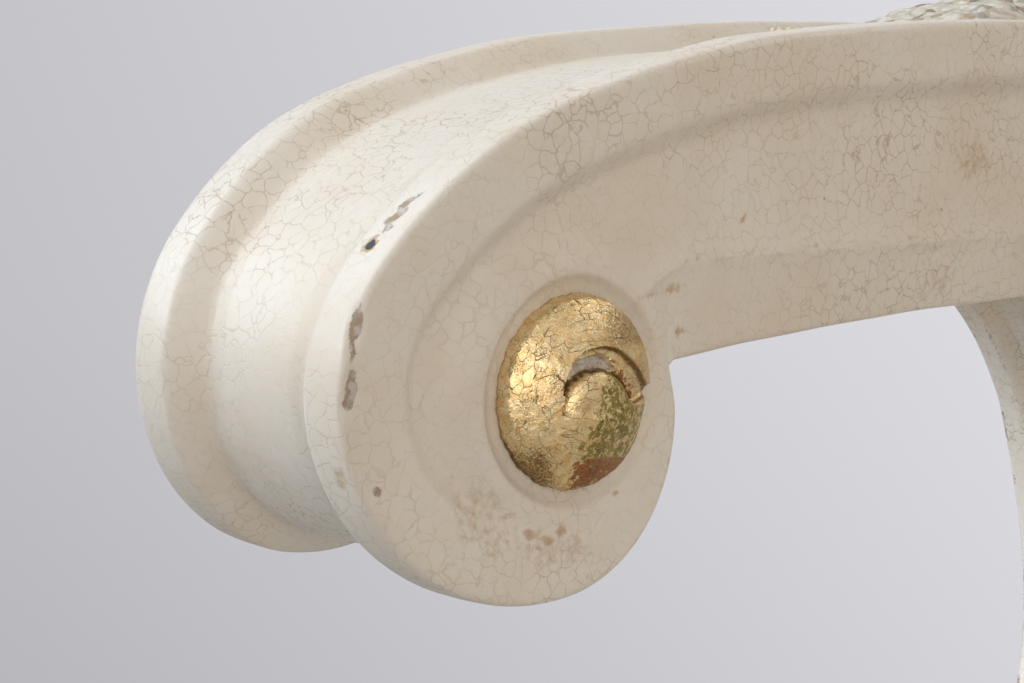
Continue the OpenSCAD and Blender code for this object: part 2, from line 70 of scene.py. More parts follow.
# Mesh functions count in millimetres; a piece's mesh is stored in metres.
# SCROLL_RISE is the scroll's top above its boss. The other heights are above the floor, and the
# setbacks are behind the front of the legs.
MM = 0.001
SIDES = {"right": -1, "left": 1}
FRONT_Y = CAD_BOX[0].y
ARM_MID = (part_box("left_arm")[0].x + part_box("left_arm")[1].x) / 2
SCROLL_RISE = 63.7
BOSS_HIGH = 600
BOSS_SETBACK = 80
POST_SETBACK = 485
LEAN_FROM = 386
BACK_LEAN = math.radians(10)
BOSS_Y = FRONT_Y + BOSS_SETBACK * MM
BOSS_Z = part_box("left_arm")[1].z - SCROLL_RISE * MM


# ---- Settings ----

def tint(name, description, default):
    return FloatVectorProperty(name=name, description=description, subtype="COLOR", size=3, min=0, max=1,
                               default=default)


def length(name, description, default):
    return FloatProperty(name=name, description=description, default=default, unit="LENGTH")


def power(name, description, default):
    return FloatProperty(name=name, description=description, default=default, unit="POWER")


class ArmchairCarving(bpy.types.PropertyGroup):
    """Sizes of the carving on the arms and supports"""
    edge_round: length("Edge round", "Radius of the arm's worn corners", 0.0016)
    rim_flat: length("Rim width", "Level part of each raised rim", 0.0085)
    cove_width: length("Cove width", "Slope from a rim down to the flat", 0.0075)
    cove_depth: length("Cove depth", "Depth of the flat below the rims", 0.005)
    channel_depth: length("Channel depth", "Depth of the hollow in a side face", 0.0031)
    waviness: length("Waviness", "Unevenness of the hand-carved surface", 0.00012)
    seed: IntProperty(name="Seed", description="Seed for scattered chips", default=7)


class ArmchairPaint(bpy.types.PropertyGroup):
    """Colours and crackle of the paint"""
    cream: tint("Cream", "Sound paint", (0.83, 0.785, 0.73))
    warm: tint("Warm cream", "Yellowed paint", (0.75, 0.63, 0.49))
    hollow: tint("Hollow tint", "Grime left in the hollows", (0.62, 0.50, 0.36))
    crack: tint("Crack", "Colour in the crackle's lines", (0.38, 0.26, 0.14))
    ground: tint("Ground", "Bare ground under chips", (0.59, 0.55, 0.54))
    rust: tint("Rust", "Brown spots and stains", (0.46, 0.27, 0.10))
    cell: length("Crackle cell", "Width of a crackle cell", 0.0029)
    roughness: FloatProperty(name="Roughness", description="Roughness of sound paint",
                             default=0.40, min=0, max=1)


class ArmchairGilding(bpy.types.PropertyGroup):
    """Colours of the gilt bosses"""
    leaf: tint("Leaf", "Bright gold leaf", (0.89, 0.70, 0.40))
    # The dull colour serves for rubbed leaf and, on the bosses, for painted shade.
    dull: tint("Dull leaf", "Rubbed leaf", (0.22, 0.12, 0.035))
    olive: tint("Olive", "Tarnish", (0.27, 0.21, 0.045))
    clay: tint("Clay", "Red-brown ground", (0.25, 0.075, 0.018))
    bare: tint("Bare groove", "Chalky ground in the groove", (0.70, 0.65, 0.61))


class ArmchairFabric(bpy.types.PropertyGroup):
    """Yarns and padding"""
    cream: tint("Cream yarn", "Main yarn", (0.84, 0.79, 0.71))
    brown: tint("Brown fleck", "Dark yarn", (0.20, 0.12, 0.07))
    tan: tint("Tan fleck", "Tan yarn", (0.50, 0.35, 0.20))
    grey: tint("Grey fleck", "Grey yarn", (0.34, 0.32, 0.30))
    loop: length("Loop", "Width of a loop of yarn", 0.0026)
    swell: length("Swell", "Room a cushion is given to swell into", 0.006)
    pressure: FloatProperty(name="Pressure", description="Pressure of the stuffing", default=4.0)


class ArmchairStage(bpy.types.PropertyGroup):
    """Lights, backdrop and camera"""
    key: power("Key light", "Power of the main softbox", 51.0)
    fill: power("Fill light", "Power of the fill light", 29.0)
    ambient: FloatProperty(name="Ambient", description="Strength of the world", default=0.44)
    window: power("Window", "Power of the small front light", 8.0)
    # The backdrop wall's glow, a painted gradient of light from left to right.
    left_glow: tint("Left tone", "Backdrop to the left", (0.478, 0.476, 0.50))
    right_glow: tint("Right tone", "Backdrop to the right", (0.71, 0.705, 0.74))
    lens: FloatProperty(name="Lens", description="Focal length in millimetres", default=77.34)


# ---- Number tools ----

def smooth(share):
    """Eased ramp from 0 to 1."""
    t = np.clip(share, 0, 1)
    return t * t * (3 - 2 * t)


def smooth_turn(share):
    """Half a cosine wave from 0 to 1."""
    return (1 - np.cos(np.pi * np.clip(share, 0, 1))) / 2


def wobble(points, size, seed):
    """Smooth seeded noise from -1 to 1 at points, with bumps about size wide."""
    rng = np.random.default_rng(seed)
    waves = 14
    heading = rng.normal(size=(waves, 3))
    heading /= np.linalg.norm(heading, axis=1)[:, None]
    pitch = 2 * math.pi / (size * rng.uniform(0.7, 2.2, waves))
    phase = rng.uniform(0, 2 * math.pi, waves)
    total = np.zeros(len(points))
    for h, k, f in zip(heading, pitch, phase):
        total += np.sin(points @ h * k + f)
    return total / math.sqrt(waves * 2)


def grid_quads(rows, cols, start=0, closed_rows=False, closed_cols=False):
    """Quads over a grid of vertices numbered row by row."""
    r = np.arange(rows if closed_rows else rows - 1)
    c = np.arange(cols if closed_cols else cols - 1)
    r, c = np.meshgrid(r, c, indexing="ij")
    r2, c2 = (r + 1) % rows, (c + 1) % cols
    quads = np.stack([r * cols + c, r2 * cols + c, r2 * cols + c2, r * cols + c2], -1)
    return (quads.reshape(-1, 4) + start).tolist()


def bar_faces(count, around):
    """Quads round a bar's sections, with both ends capped."""
    ends = [list(range(around)), list(range((count - 1) * around, count * around))[::-1]]
    return grid_quads(count, around, closed_cols=True) + ends


def vertex_array(mesh):
    co = np.zeros(len(mesh.vertices) * 3, np.float32)
    mesh.vertices.foreach_get("co", co)
    return co.reshape(-1, 3).astype(float)


def normal_array(mesh):
    n = np.zeros(len(mesh.vertices) * 3, np.float32)
    mesh.vertex_normals.foreach_get("vector", n)
    return n.reshape(-1, 3).astype(float)


def set_vertices(mesh, points):
    mesh.vertices.foreach_set("co", np.asarray(points, np.float32).ravel())
    mesh.update()


def set_values(mesh, name, values):
    """Stores one number a vertex for the materials to read."""
    layer = mesh.attributes.get(name) or mesh.attributes.new(name, "FLOAT", "POINT")
    layer.data.foreach_set("value", np.asarray(values, np.float32))


# ---- Making pieces ----

def solid_mesh(name, points_mm, faces, values=None):
    """A closed mesh from points and faces in millimetres: doubles merged, faces turned outwards."""
    mesh = bpy.data.meshes.new(name)
    mesh.from_pydata((np.asarray(points_mm, float) * MM).tolist(), [], faces)
    for key, numbers in (values or {}).items():
        set_values(mesh, key, numbers)
    bm = bmesh.new()
    bm.from_mesh(mesh)
    bmesh.ops.remove_doubles(bm, verts=bm.verts, dist=2e-6)
    bmesh.ops.dissolve_degenerate(bm, edges=bm.edges, dist=1e-7)
    bmesh.ops.recalc_face_normals(bm, faces=bm.faces)
    if bm.calc_volume(signed=True) < 0:
        bmesh.ops.reverse_faces(bm, faces=bm.faces)
    bm.to_mesh(mesh)
    bm.free()
    shade_smooth(mesh)
    return mesh


def shade_smooth(mesh, angle=40):
    mesh.polygons.foreach_set("use_smooth", [True] * len(mesh.polygons))
    mesh.set_sharp_from_angle(angle=math.radians(angle))


def add_object(name, data):
    obj = bpy.data.objects.new(name, data)
    bpy.context.scene.collection.objects.link(obj)
    return obj


def finish_piece(obj, material, nodes=()):
    """Gives a finished piece its material and body, and hides the CAD nodes that it replaces."""
    obj.data.materials.clear()
    obj.data.materials.append(material)
    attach(obj, "root")
    if nodes:
        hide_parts(*nodes)


def finish_mesh(mesh, material, nodes=()):
    """Turns a mesh into a finished piece of the same name."""
    finish_piece(add_object(mesh.name, mesh), material, nodes)


def plain_mesh(obj):
    """Turns an object with modifiers into one with a plain mesh."""
    graph = bpy.context.evaluated_depsgraph_get()
    mesh = bpy.data.meshes.new_from_object(obj.evaluated_get(graph), depsgraph=graph)
    obj.modifiers.clear()
    old = obj.data
    obj.data = mesh
    if old.users == 0:
        bpy.data.meshes.remove(old)
    return obj


def cad_copy(node, name, flat_angle=3):
    """A merged copy of a CAD node's mesh with its level faces joined."""
    bm = bmesh.new()
    bm.from_mesh(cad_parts[node].data)
    bmesh.ops.remove_doubles(bm, verts=bm.verts, dist=1e-6)
    bmesh.ops.dissolve_limit(bm, angle_limit=math.radians(flat_angle), verts=bm.verts,
                             edges=bm.edges)
    mesh = bpy.data.meshes.new(name)
    bm.to_mesh(mesh)
    bm.free()
    mesh.materials.clear()
    return add_object(name, mesh)


def edge_wear(mesh, reach=0.0012):
    """Stores how strongly each vertex lies on an outward edge, from 0 to 1."""
    points, normals = vertex_array(mesh), normal_array(mesh)
    ends = np.zeros(len(mesh.edges) * 2, np.int32)
    mesh.edges.foreach_get("vertices", ends)
    a, b = ends.reshape(-1, 2).T
    along = points[b] - points[a]
    length = np.linalg.norm(along, axis=1) + 1e-9
    bend = ((normals[b] - normals[a]) * along).sum(1) / length ** 2
    most = np.zeros(len(points))
    np.maximum.at(most, a, bend)
    np.maximum.at(most, b, bend)
    set_values(mesh, "edge", np.clip(most * reach, 0, 1))


# ---- Node building ----

class NodeGraph:
    """Short calls for placing and linking nodes in one tree."""

    def __init__(self, tree):
        self.tree = tree

    def add(self, kind, inputs=None, **settings):
        """Adds a node; inputs maps a socket's name or number to a value or to another socket."""
        node = self.tree.nodes.new(kind)
        for key, value in settings.items():
            setattr(node, key, value)
        for key, value in (inputs or {}).items():
            self.feed(node.inputs[key], value)
        return node

    def feed(self, socket, value):
        """Links a socket to another one, or sets its own value."""
        if isinstance(value, bpy.types.NodeSocket):
            self.tree.links.new(value, socket)
        else:
            socket.default_value = value

    def place(self):
        """Object coordinates."""
        return self.add("ShaderNodeTexCoord").outputs["Object"]

    def math(self, operation, *values, clamp=False):
        node = self.add("ShaderNodeMath", dict(enumerate(values)), operation=operation)
        node.use_clamp = clamp
        return node.outputs[0]

    def mix(self, share, first, second, blend="MIX"):
        """Mixes two colours, each a socket or red, green and blue."""
        node = self.add("ShaderNodeMix", {0: share}, data_type="RGBA", blend_type=blend)
        for index, value in ((6, first), (7, second)):
            is_socket = isinstance(value, bpy.types.NodeSocket)
            self.feed(node.inputs[index], value if is_socket else (*value, 1.0))
        return node.outputs[2]

    def times(self, first, second):
        return self.math("MULTIPLY", first, second)

    def vector(self, operation, first, second=None, scale=None):
        values = {0: first, 1: second, "Scale": scale}
        values = {key: value for key, value in values.items() if value is not None}
        node = self.add("ShaderNodeVectorMath", values, operation=operation)
        return node.outputs["Value" if operation in ("DOT_PRODUCT", "LENGTH") else "Vector"]

    def ramp(self, value, low, high, to_low=0.0, to_high=1.0, ease=True):
        node = self.add("ShaderNodeMapRange", {0: value, 1: low, 2: high, 3: to_low, 4: to_high})
        node.interpolation_type = "SMOOTHSTEP" if ease else "LINEAR"
        return node.outputs[0]

    def noise(self, vector, scale, detail=2.0, rough=0.5, distortion=0.0):
        node = self.add("ShaderNodeTexNoise", {"Vector": vector, "Scale": scale, "Detail": detail,
                                               "Roughness": rough, "Distortion": distortion})
        return node.outputs

    def value(self, name):
        return self.add("ShaderNodeAttribute", attribute_name=name).outputs["Fac"]


def once(maker):
    """Keeps what a maker makes, and gives it again for the same values while it still exists."""
    made = {}

    def again(*given):
        try:
            made[given].name
        except (KeyError, ReferenceError):
            made[given] = maker(*given)
        return made[given]

    return again


def shader_group(name, inputs, outputs):
    """A new shader node group with its sockets, ready to fill."""
    tree = bpy.data.node_groups.new(name, "ShaderNodeTree")
    for label, default in inputs.items():
        socket = tree.interface.new_socket(name=label, in_out="INPUT", socket_type="NodeSocketFloat")
        socket.default_value = default
    for label in outputs:
        tree.interface.new_socket(name=label, in_out="OUTPUT", socket_type="NodeSocketFloat")
    graph = NodeGraph(tree)
    return tree, graph, graph.add("NodeGroupInput").outputs, graph.add("NodeGroupOutput").inputs


@once
def crackle_group():
    """Fine crackle: wandering lines round uneven cells, strong in some places and faint in others."""
    tree, g, given, out = shader_group(
        "crackle", {"Cell": 0.004, "Width": 0.05, "Fine": 0.5}, ("Lines", "Cell Tone"))
    place = g.place()
    per_metre = g.math("DIVIDE", 1.0, given["Cell"])
    bend = g.noise(place, g.times(per_metre, 1.4), 2.0, 0.5)[1]
    shift = g.vector("SUBTRACT", bend, (0.5, 0.5, 0.5))
    bent = g.vector("ADD", place, g.vector("SCALE", shift, scale=g.times(given["Cell"], 0.62)))

    def lines(density, width):
        scale = g.times(per_metre, density)
        cells = g.add("ShaderNodeTexVoronoi", {"Vector": bent, "Scale": scale, "Randomness": 1.0},
                      feature="DISTANCE_TO_EDGE")
        return g.ramp(cells.outputs["Distance"], 0.0, width, 1.0, 0.0)

    strong = g.ramp(g.noise(place, 55.0, 2.0, 0.6)[0], 0.36, 0.60, 0.30, 1.0)
    broken = g.ramp(g.noise(place, 420.0, 1.0)[0], 0.32, 0.52, 0.25, 1.0)
    fine_area = g.ramp(g.noise(place, 90.0, 2.0)[0], 0.47, 0.62)
    main = g.times(g.times(lines(1.0, given["Width"]), strong), broken)
    fine = g.times(g.times(lines(1.9, given["Width"]), fine_area), given["Fine"])
    fine = g.times(fine, broken)
    g.feed(out["Lines"], g.math("MAXIMUM", main, fine))
    tone = g.add("ShaderNodeTexVoronoi", {"Vector": bent, "Scale": per_metre, "Randomness": 1.0},
                 feature="F1")
    tint = g.add("ShaderNodeSeparateColor", {0: tone.outputs["Color"]}).outputs[0]
    g.feed(out["Cell Tone"], tint)
    return tree


@once
def ragged_group():
    """Turns a soft mask into a ragged one, such as a chip's or a stain's."""
    tree, g, given, out = shader_group(
        "ragged mask", {"Mask": 0.0, "Grain": 900.0, "Softness": 0.1}, ("Mask",))
    place = g.place()
    grain = g.noise(place, given["Grain"], 4.0, 0.65)[0]
    pushed = g.math("ADD", given["Mask"], g.math("MULTIPLY_ADD", grain, 1.3, -0.65))
    low = g.math("SUBTRACT", 0.5, given["Softness"])
    high = g.math("ADD", 0.5, given["Softness"])
    present = g.ramp(given["Mask"], 0.0, 0.08)
    g.feed(out["Mask"], g.times(g.ramp(pushed, low, high), present))
    return tree


@once
def dirt_group():
    """Cloudy grime and fine dark specks."""
    tree, g, given, out = shader_group(
        "grime", {"Cloud Size": 0.03, "Speck Size": 0.004}, ("Cloud", "Specks"))
    place = g.place()
    cloud = g.noise(place, g.math("DIVIDE", 1.0, given["Cloud Size"]), 4.0, 0.55)[0]
    g.feed(out["Cloud"], g.ramp(cloud, 0.40, 0.68))
    specks = g.add("ShaderNodeTexVoronoi", {
        "Vector": place, "Scale": g.math("DIVIDE", 1.0, given["Speck Size"])}, feature="F1")
    rare = g.add("ShaderNodeSeparateColor", {0: specks.outputs["Color"]}).outputs[1]
    spot = g.ramp(specks.outputs["Distance"], 0.03, 0.07, 1.0, 0.0)
    g.feed(out["Specks"], g.times(spot, g.ramp(rare, 0.90, 0.92)))
    return tree


@once
def weave_group():
    """Over-and-under weave in two directions, as a height and a shade for each thread."""
    tree, g, given, out = shader_group(
        "weave", {"Thread": 0.002, "Lean": 0.0}, ("Height", "Shade"))
    place = g.place()
    parts = g.add("ShaderNodeSeparateXYZ", {0: place}).outputs
    flat = g.math("SUBTRACT", 1.0, given["Lean"])
    down = g.math("ADD", g.times(parts[1], flat), g.times(parts[2], given["Lean"]))
    turn = g.math("DIVIDE", math.pi, given["Thread"])
    across = g.math("SINE", g.times(parts[0], turn))
    along = g.math("SINE", g.times(down, turn))
    over = g.ramp(g.times(across, along), -0.15, 0.15)
    height = g.add("ShaderNodeMix", {0: over, 2: g.math("ABSOLUTE", along),
                                     3: g.math("ABSOLUTE", across)}, data_type="FLOAT").outputs[0]
    g.feed(out["Height"], height)
    g.feed(out["Shade"], g.noise(place, g.math("DIVIDE", 0.5, given["Thread"]), 3.0)[0])
    return tree


@once
def grain_group():
    """Wood grain running along X."""
    tree, g, given, out = shader_group("wood grain", {"Ring": 0.006}, ("Grain", "Pores"))
    place = g.place()
    drawn = g.add("ShaderNodeMapping", {"Vector": place, "Scale": (0.08, 1.0, 1.0)}).outputs[0]
    rings = g.noise(drawn, g.math("DIVIDE", 1.0, given["Ring"]), 4.0, 0.6, 0.6)[0]
    pores = g.noise(drawn, g.math("DIVIDE", 8.0, given["Ring"]), 2.0, 0.6)[0]
    g.feed(out["Grain"], rings)
    g.feed(out["Pores"], pores)
    return tree


def use_group(graph, tree, inputs):
    node = graph.add("ShaderNodeGroup", node_tree=tree)
    for key, value in inputs.items():
        graph.feed(node.inputs[key], value)
    return node.outputs


def new_material(name, roughness=0.5, metallic=0.0, specular=0.5):
    """A material with one Principled shader; returns it, its graph and the shader's inputs."""
    material = bpy.data.materials.new(name)
    material.use_nodes = True
    tree = material.node_tree
    shader = tree.nodes["Principled BSDF"]
    shader.inputs["Roughness"].default_value = roughness
    shader.inputs["Metallic"].default_value = metallic
    shader.inputs["Specular IOR Level"].default_value = specular
    return material, NodeGraph(tree), shader.inputs


def bump(graph, shader, height, distance, strength=1.0):
    node = graph.add("ShaderNodeBump", {"Height": height, "Distance": distance,
                                        "Strength": strength})
    graph.feed(shader["Normal"], node.outputs[0])


# ---- Materials ----

@once
def paint_material(name="crackled_cream_paint", edge_amount=0.0):
    """Satin cream paint, crackled and chipped; edge_amount adds rubbing along edges."""
    look = bpy.context.scene.armchair_paint
    material, g, shader = new_material(name, look.roughness, 0.0, 0.36)
    shader["Coat Weight"].default_value = 0.08
    shader["Coat Roughness"].default_value = 0.16
    place = g.place()
    crackle = use_group(g, crackle_group(), {"Cell": look.cell, "Width": 0.058, "Fine": 0.35})
    grime = use_group(g, dirt_group(), {"Cloud Size": 0.028, "Speck Size": 0.006})
    tone = g.mix(g.times(grime["Cloud"], 0.40), look.cream, look.warm)
    tone = g.mix(g.times(crackle["Cell Tone"], 0.10), tone, look.warm)
    hollow = g.times(g.value("hollow"), g.ramp(g.noise(place, 70.0, 3.0)[0], 0.3, 0.7, 0.25, 0.8))
    tone = g.mix(g.math("MULTIPLY", hollow, 0.40, clamp=True), tone, look.hollow)
    lines = crackle["Lines"]
    strength = g.ramp(g.noise(place, 14.0, 2.0)[0], 0.36, 0.62, 0.20, 0.56)
    tone = g.mix(g.times(lines, strength), tone, look.crack)
    tone = g.mix(g.times(grime["Specks"], 0.8), tone, look.rust)
    stain_and_hole_value = g.value("stain_and_hole_shade")
    stain_and_hole_shade = use_group(g, ragged_group(), {"Mask": stain_and_hole_value, "Grain": 700.0, "Softness": 0.38})[0]
    tone = g.mix(g.times(stain_and_hole_shade, 0.72), tone, look.rust)
    chip_value = g.value("wear")
    if edge_amount:
        rubbed = g.times(g.value("edge"), g.ramp(g.noise(place, 60.0, 3.0)[0], 0.45, 0.62))
        chip_value = g.math("MAXIMUM", chip_value, g.times(rubbed, edge_amount))
    chip = use_group(g, ragged_group(), {"Mask": chip_value, "Grain": 1100.0, "Softness": 0.09})[0]
    under = g.mix(g.ramp(g.noise(place, 500.0, 3.0)[0], 0.42, 0.58), look.ground,
                  (0.34, 0.24, 0.16))
    tone = g.mix(g.times(chip, 0.80), tone, under)
    # Painted shade: values above 1.4 paint the shade of a small hole near-black.
    tone = g.mix(g.ramp(stain_and_hole_value, 1.4, 1.9), tone, (0.012, 0.010, 0.008))
    g.feed(shader["Base Color"], tone)
    dull = g.math("MULTIPLY_ADD", g.noise(place, 160.0, 3.0)[0], 0.16, look.roughness - 0.06)
    dull = g.math("MAXIMUM", dull, g.times(lines, 0.65))
    dull = g.math("MAXIMUM", dull, g.times(chip, 0.85))
    g.feed(shader["Roughness"], dull)
    height = g.times(lines, -0.5)
    height = g.math("ADD", height, g.times(chip, -1.2))
    height = g.math("ADD", height, g.times(crackle["Cell Tone"], 0.10))
    height = g.math("ADD", height, g.times(g.noise(place, 260.0, 3.0)[0], 0.45))
    bump(g, shader, height, 0.00012, 0.75)
    return material


@once
def gilding_material():
    """Gold leaf rubbed through to olive tarnish and red clay, with dark scratches and painted shade."""
    look = bpy.context.scene.armchair_gilding
    material, g, shader = new_material("worn_gilding", 0.34, 0.8)
    face = g.add("ShaderNodeAttribute", attribute_name="face").outputs["Vector"]
    mottle = g.noise(face, 0.55, 5.0, 0.65)[0]
    fine = g.noise(face, 3.2, 4.0, 0.7)[0]
    leaf = g.mix(g.ramp(mottle, 0.42, 0.62), look.leaf, (0.80, 0.56, 0.26))
    # The rubbed value mixes in the dull colour both for rubbed leaf and for painted shade on the boss's lower
    # left, groove end, crease and brow line.
    shadowed = g.math("ADD", g.value("rubbed"), g.math("MULTIPLY_ADD", fine, 1.0, -0.5))
    rubbed = g.ramp(shadowed, 0.35, 0.75)
    leaf = g.mix(rubbed, leaf, look.dull)
    patches = g.noise(face, 0.9, 4.0, 0.7)[0]
    spread = g.times(g.value("olive"), g.ramp(patches, 0.30, 0.62, 1.6, 0.15))
    olive = g.ramp(spread, 0.25, 0.55)
    tarnish = g.mix(g.ramp(patches, 0.42, 0.60), look.olive, (0.46, 0.37, 0.10))
    tone = g.mix(olive, leaf, tarnish)
    clay = g.ramp(g.times(g.value("clay"), g.ramp(patches, 0.32, 0.66, 0.3, 1.7)), 0.30, 0.60)
    red = g.mix(g.ramp(fine, 0.35, 0.65), look.clay, (0.42, 0.17, 0.035))
    tone = g.mix(clay, tone, red)
    pulled = g.add("ShaderNodeMapping", {"Vector": face, "Rotation": (0, 0, 0.9),
                                         "Scale": (0.10, 0.34, 1.0)}).outputs[0]
    sway = g.noise(face, 0.22, 2.0, 0.5)[1]
    pulled = g.vector("ADD", pulled, sway)
    scratch = g.add("ShaderNodeTexVoronoi", {"Vector": pulled, "Scale": 1.15},
                    feature="DISTANCE_TO_EDGE").outputs["Distance"]
    scratch = g.times(g.ramp(scratch, 0.0, 0.022, 1.0, 0.0),
                     g.ramp(g.noise(face, 0.3, 2.0)[0], 0.40, 0.50))
    clusters = g.ramp(g.noise(face, 0.45, 2.0)[0], 0.45, 0.65)
    pits = g.times(g.ramp(g.noise(face, 4.2, 3.0, 0.75)[0], 0.55, 0.63), clusters)
    dark = g.math("MAXIMUM", scratch, g.times(pits, 0.75))
    tone = g.mix(g.times(dark, 0.85), tone, (0.075, 0.040, 0.014))
    bare = use_group(g, ragged_group(), {"Mask": g.value("bare"), "Grain": 1200.0, "Softness": 0.35})[0]
    ground = g.mix(g.ramp(patches, 0.34, 0.56), (0.46, 0.39, 0.33), look.bare)
    tone = g.mix(bare, tone, ground)
    g.feed(shader["Base Color"], tone)
    metal = g.math("SUBTRACT", 0.86, g.times(olive, 0.45))
    metal = g.math("SUBTRACT", metal, g.times(clay, 0.55))
    metal = g.math("SUBTRACT", metal, g.times(dark, 0.5))
    metal = g.times(g.math("MAXIMUM", metal, 0.0), g.math("SUBTRACT", 1.0, bare))
    g.feed(shader["Metallic"], metal)
    rough = g.math("ADD", g.math("MULTIPLY_ADD", fine, 0.26, 0.16), g.times(dark, 0.25))
    rough = g.math("MAXIMUM", rough, g.times(bare, 0.9))
    g.feed(shader["Roughness"], rough)
    height = g.math("ADD", g.times(fine, 0.16), g.times(dark, -0.7))
    height = g.math("ADD", height, g.times(patches, 1.1))
    bump(g, shader, height, 0.00022, 0.9)
    return material


@once
def tweed_material():
    """Looped cream wool with brown, tan and grey flecks, and painted shade between the loops."""
    look = bpy.context.scene.armchair_fabric
    material, g, shader = new_material("looped_tweed", 0.92, 0.0, 0.25)
    shader["Sheen Weight"].default_value = 0.25
    shader["Sheen Roughness"].default_value = 0.5
    place = g.place()
    sway = g.vector("SUBTRACT", g.noise(place, 300.0, 2.0)[1], (0.5, 0.5, 0.5))
    bent = g.vector("ADD", place, g.vector("SCALE", sway, scale=look.loop * 0.9))
    loops = g.add("ShaderNodeTexVoronoi", {"Vector": bent, "Scale": 1 / look.loop}, feature="F1")
    parts = g.add("ShaderNodeSeparateColor", {0: loops.outputs["Color"]}).outputs
    shade = g.math("MULTIPLY_ADD", parts[2], 0.22, 0.86)
    shade = g.add("ShaderNodeCombineColor", {0: shade, 1: shade, 2: shade}).outputs[0]
    tone = g.mix(1.0, look.cream, shade, "MULTIPLY")
    drift = g.noise(place, 75.0, 3.0, 0.6)[0]
    flecks = ((parts[0], 0.86, look.tan, 0.9), (parts[1], 0.92, look.brown, 0.8),
              (parts[0], 0.06, look.grey, 0.7))
    for part, limit, tint, amount in flecks:
        edge = g.math("SUBTRACT", limit, g.math("MULTIPLY_ADD", drift, 0.24, -0.12))
        if limit > 0.5:
            mask = g.ramp(part, edge, g.math("ADD", edge, 0.02))
        else:
            mask = g.ramp(part, limit, limit + 0.02, 1.0, 0.0)
        tone = g.mix(g.times(mask, amount), tone, tint)
    # Painted shade: darker brown between the loops, away from each loop's middle.
    loop_gap_shade = g.ramp(loops.outputs["Distance"], 0.35, 0.75)
    tone = g.mix(g.times(loop_gap_shade, 0.42), tone, (0.38, 0.31, 0.24))
    g.feed(shader["Base Color"], tone)
    dome = g.math("SUBTRACT", 1.0, loops.outputs["Distance"])
    fuzz = g.noise(place, 2400.0, 3.0, 0.7)[0]
    bump(g, shader, g.math("MULTIPLY_ADD", fuzz, 0.35, dome), look.loop * 0.35, 1.0)
    return material


@once
def woven_material(name, light, dark, thread, lean):
    """Plain weave in two tones with painted shade between the threads; lean is 1 on a surface that stands up.
    """
    material, g, shader = new_material(name, 0.88, 0.0, 0.3)
    weave = use_group(g, weave_group(), {"Thread": thread, "Lean": lean})
    tone = g.mix(g.ramp(weave["Shade"], 0.35, 0.65), light, dark)
    # Painted shade: dark brown where the weave lies low, between the threads.
    tone = g.mix(g.ramp(weave["Height"], 0.05, 0.55, 0.75, 0.0), tone, (0.10, 0.06, 0.03))
    g.feed(shader["Base Color"], tone)
    bump(g, shader, weave["Height"], thread * 0.3)
    return material


@once
def braid_material():
    """Twisted cream cord of a woven braid, with painted shade between its strands."""
    material, g, shader = new_material("cream_braid", 0.85, 0.0, 0.3)
    place = g.place()
    strands = g.noise(place, 900.0, 3.0, 0.7)[0]
    age = g.noise(place, 60.0, 3.0, 0.6)[0]
    tone = g.mix(g.ramp(age, 0.35, 0.7), (0.78, 0.70, 0.57), (0.66, 0.57, 0.43))
    # Painted shade: brown where the strands lie low, between them.
    tone = g.mix(g.ramp(strands, 0.35, 0.6, 0.4, 0.0), tone, (0.34, 0.26, 0.17))
    g.feed(shader["Base Color"], tone)
    bump(g, shader, strands, 0.0004)
    return material


@once
def bare_wood_material():
    """Unpainted beech, dulled with age."""
    material, g, shader = new_material("aged_beech", 0.62)
    grain = use_group(g, grain_group(), {"Ring": 0.007})
    grime = use_group(g, dirt_group(), {"Cloud Size": 0.05, "Speck Size": 0.01})
    tone = g.mix(g.ramp(grain["Grain"], 0.35, 0.68), (0.40, 0.25, 0.13), (0.26, 0.145, 0.065))
    tone = g.mix(g.ramp(grain["Pores"], 0.56, 0.70, 0.0, 0.6), tone, (0.12, 0.065, 0.03))
    tone = g.mix(g.times(grime["Cloud"], 0.45), tone, (0.13, 0.10, 0.075))
    g.feed(shader["Base Color"], tone)
    bump(g, shader, grain["Pores"], 0.0003, 0.6)
    return material


@once
def steel_material():
    """Dull nickelled steel with rust creeping over it."""
    material, g, shader = new_material("dull_nickel", 0.45, 0.9)
    grime = use_group(g, dirt_group(), {"Cloud Size": 0.004, "Speck Size": 0.002})
    rust = g.times(grime["Cloud"], 0.8)
    g.feed(shader["Base Color"], g.mix(rust, (0.40, 0.385, 0.365), (0.13, 0.055, 0.022)))
    g.feed(shader["Metallic"], g.math("SUBTRACT", 0.9, rust))
    g.feed(shader["Roughness"], g.math("MULTIPLY_ADD", rust, 0.5, 0.34))
    bump(g, shader, rust, 0.0002, 0.5)
    return material


def worn_paint():
    """The cream paint with its edges rubbed."""
    return paint_material("worn_cream_paint", 0.9)


# ---- Arms ----

# Radii and turns of the arcs that follow each other round the scroll, as in the frame
SCROLL_RADII = (1120, 276, 83, 34, 41.6, 28.2)
SCROLL_TURNS = (4.6, 12.7, 31, 80.6, 59.6, 101)
SCROLL_START = 150
HALF_ARM = 33.5
TIP_NARROWING = 0.0012
NARROW_FROM = 23
HALF_POST = 25
POST_BLEND = 110
NOTCH_Y = 25
NOTCH_DROP = 4.2
UNDER_RISE = 7.2
UNDER_LEVEL = 130
RIDGE = 20.5
RIDGE_SAG = 5.5
CLOSE_STATIONS_TO = 120
FACE_EDGE = 10.5
HOLLOW_TOP = 48.2
RECESS_R, RECESS_DEPTH = 19.7, 1.3
EYE_R = 20.2
EYE_RINGS = (19.9, 19.6, 19.3, 19.0, 18.7, 18.4, 18.0, 17.0, 13.0, 8.0, 3.5)
FACE_ROWS, FACE_RINGS = 44, 34


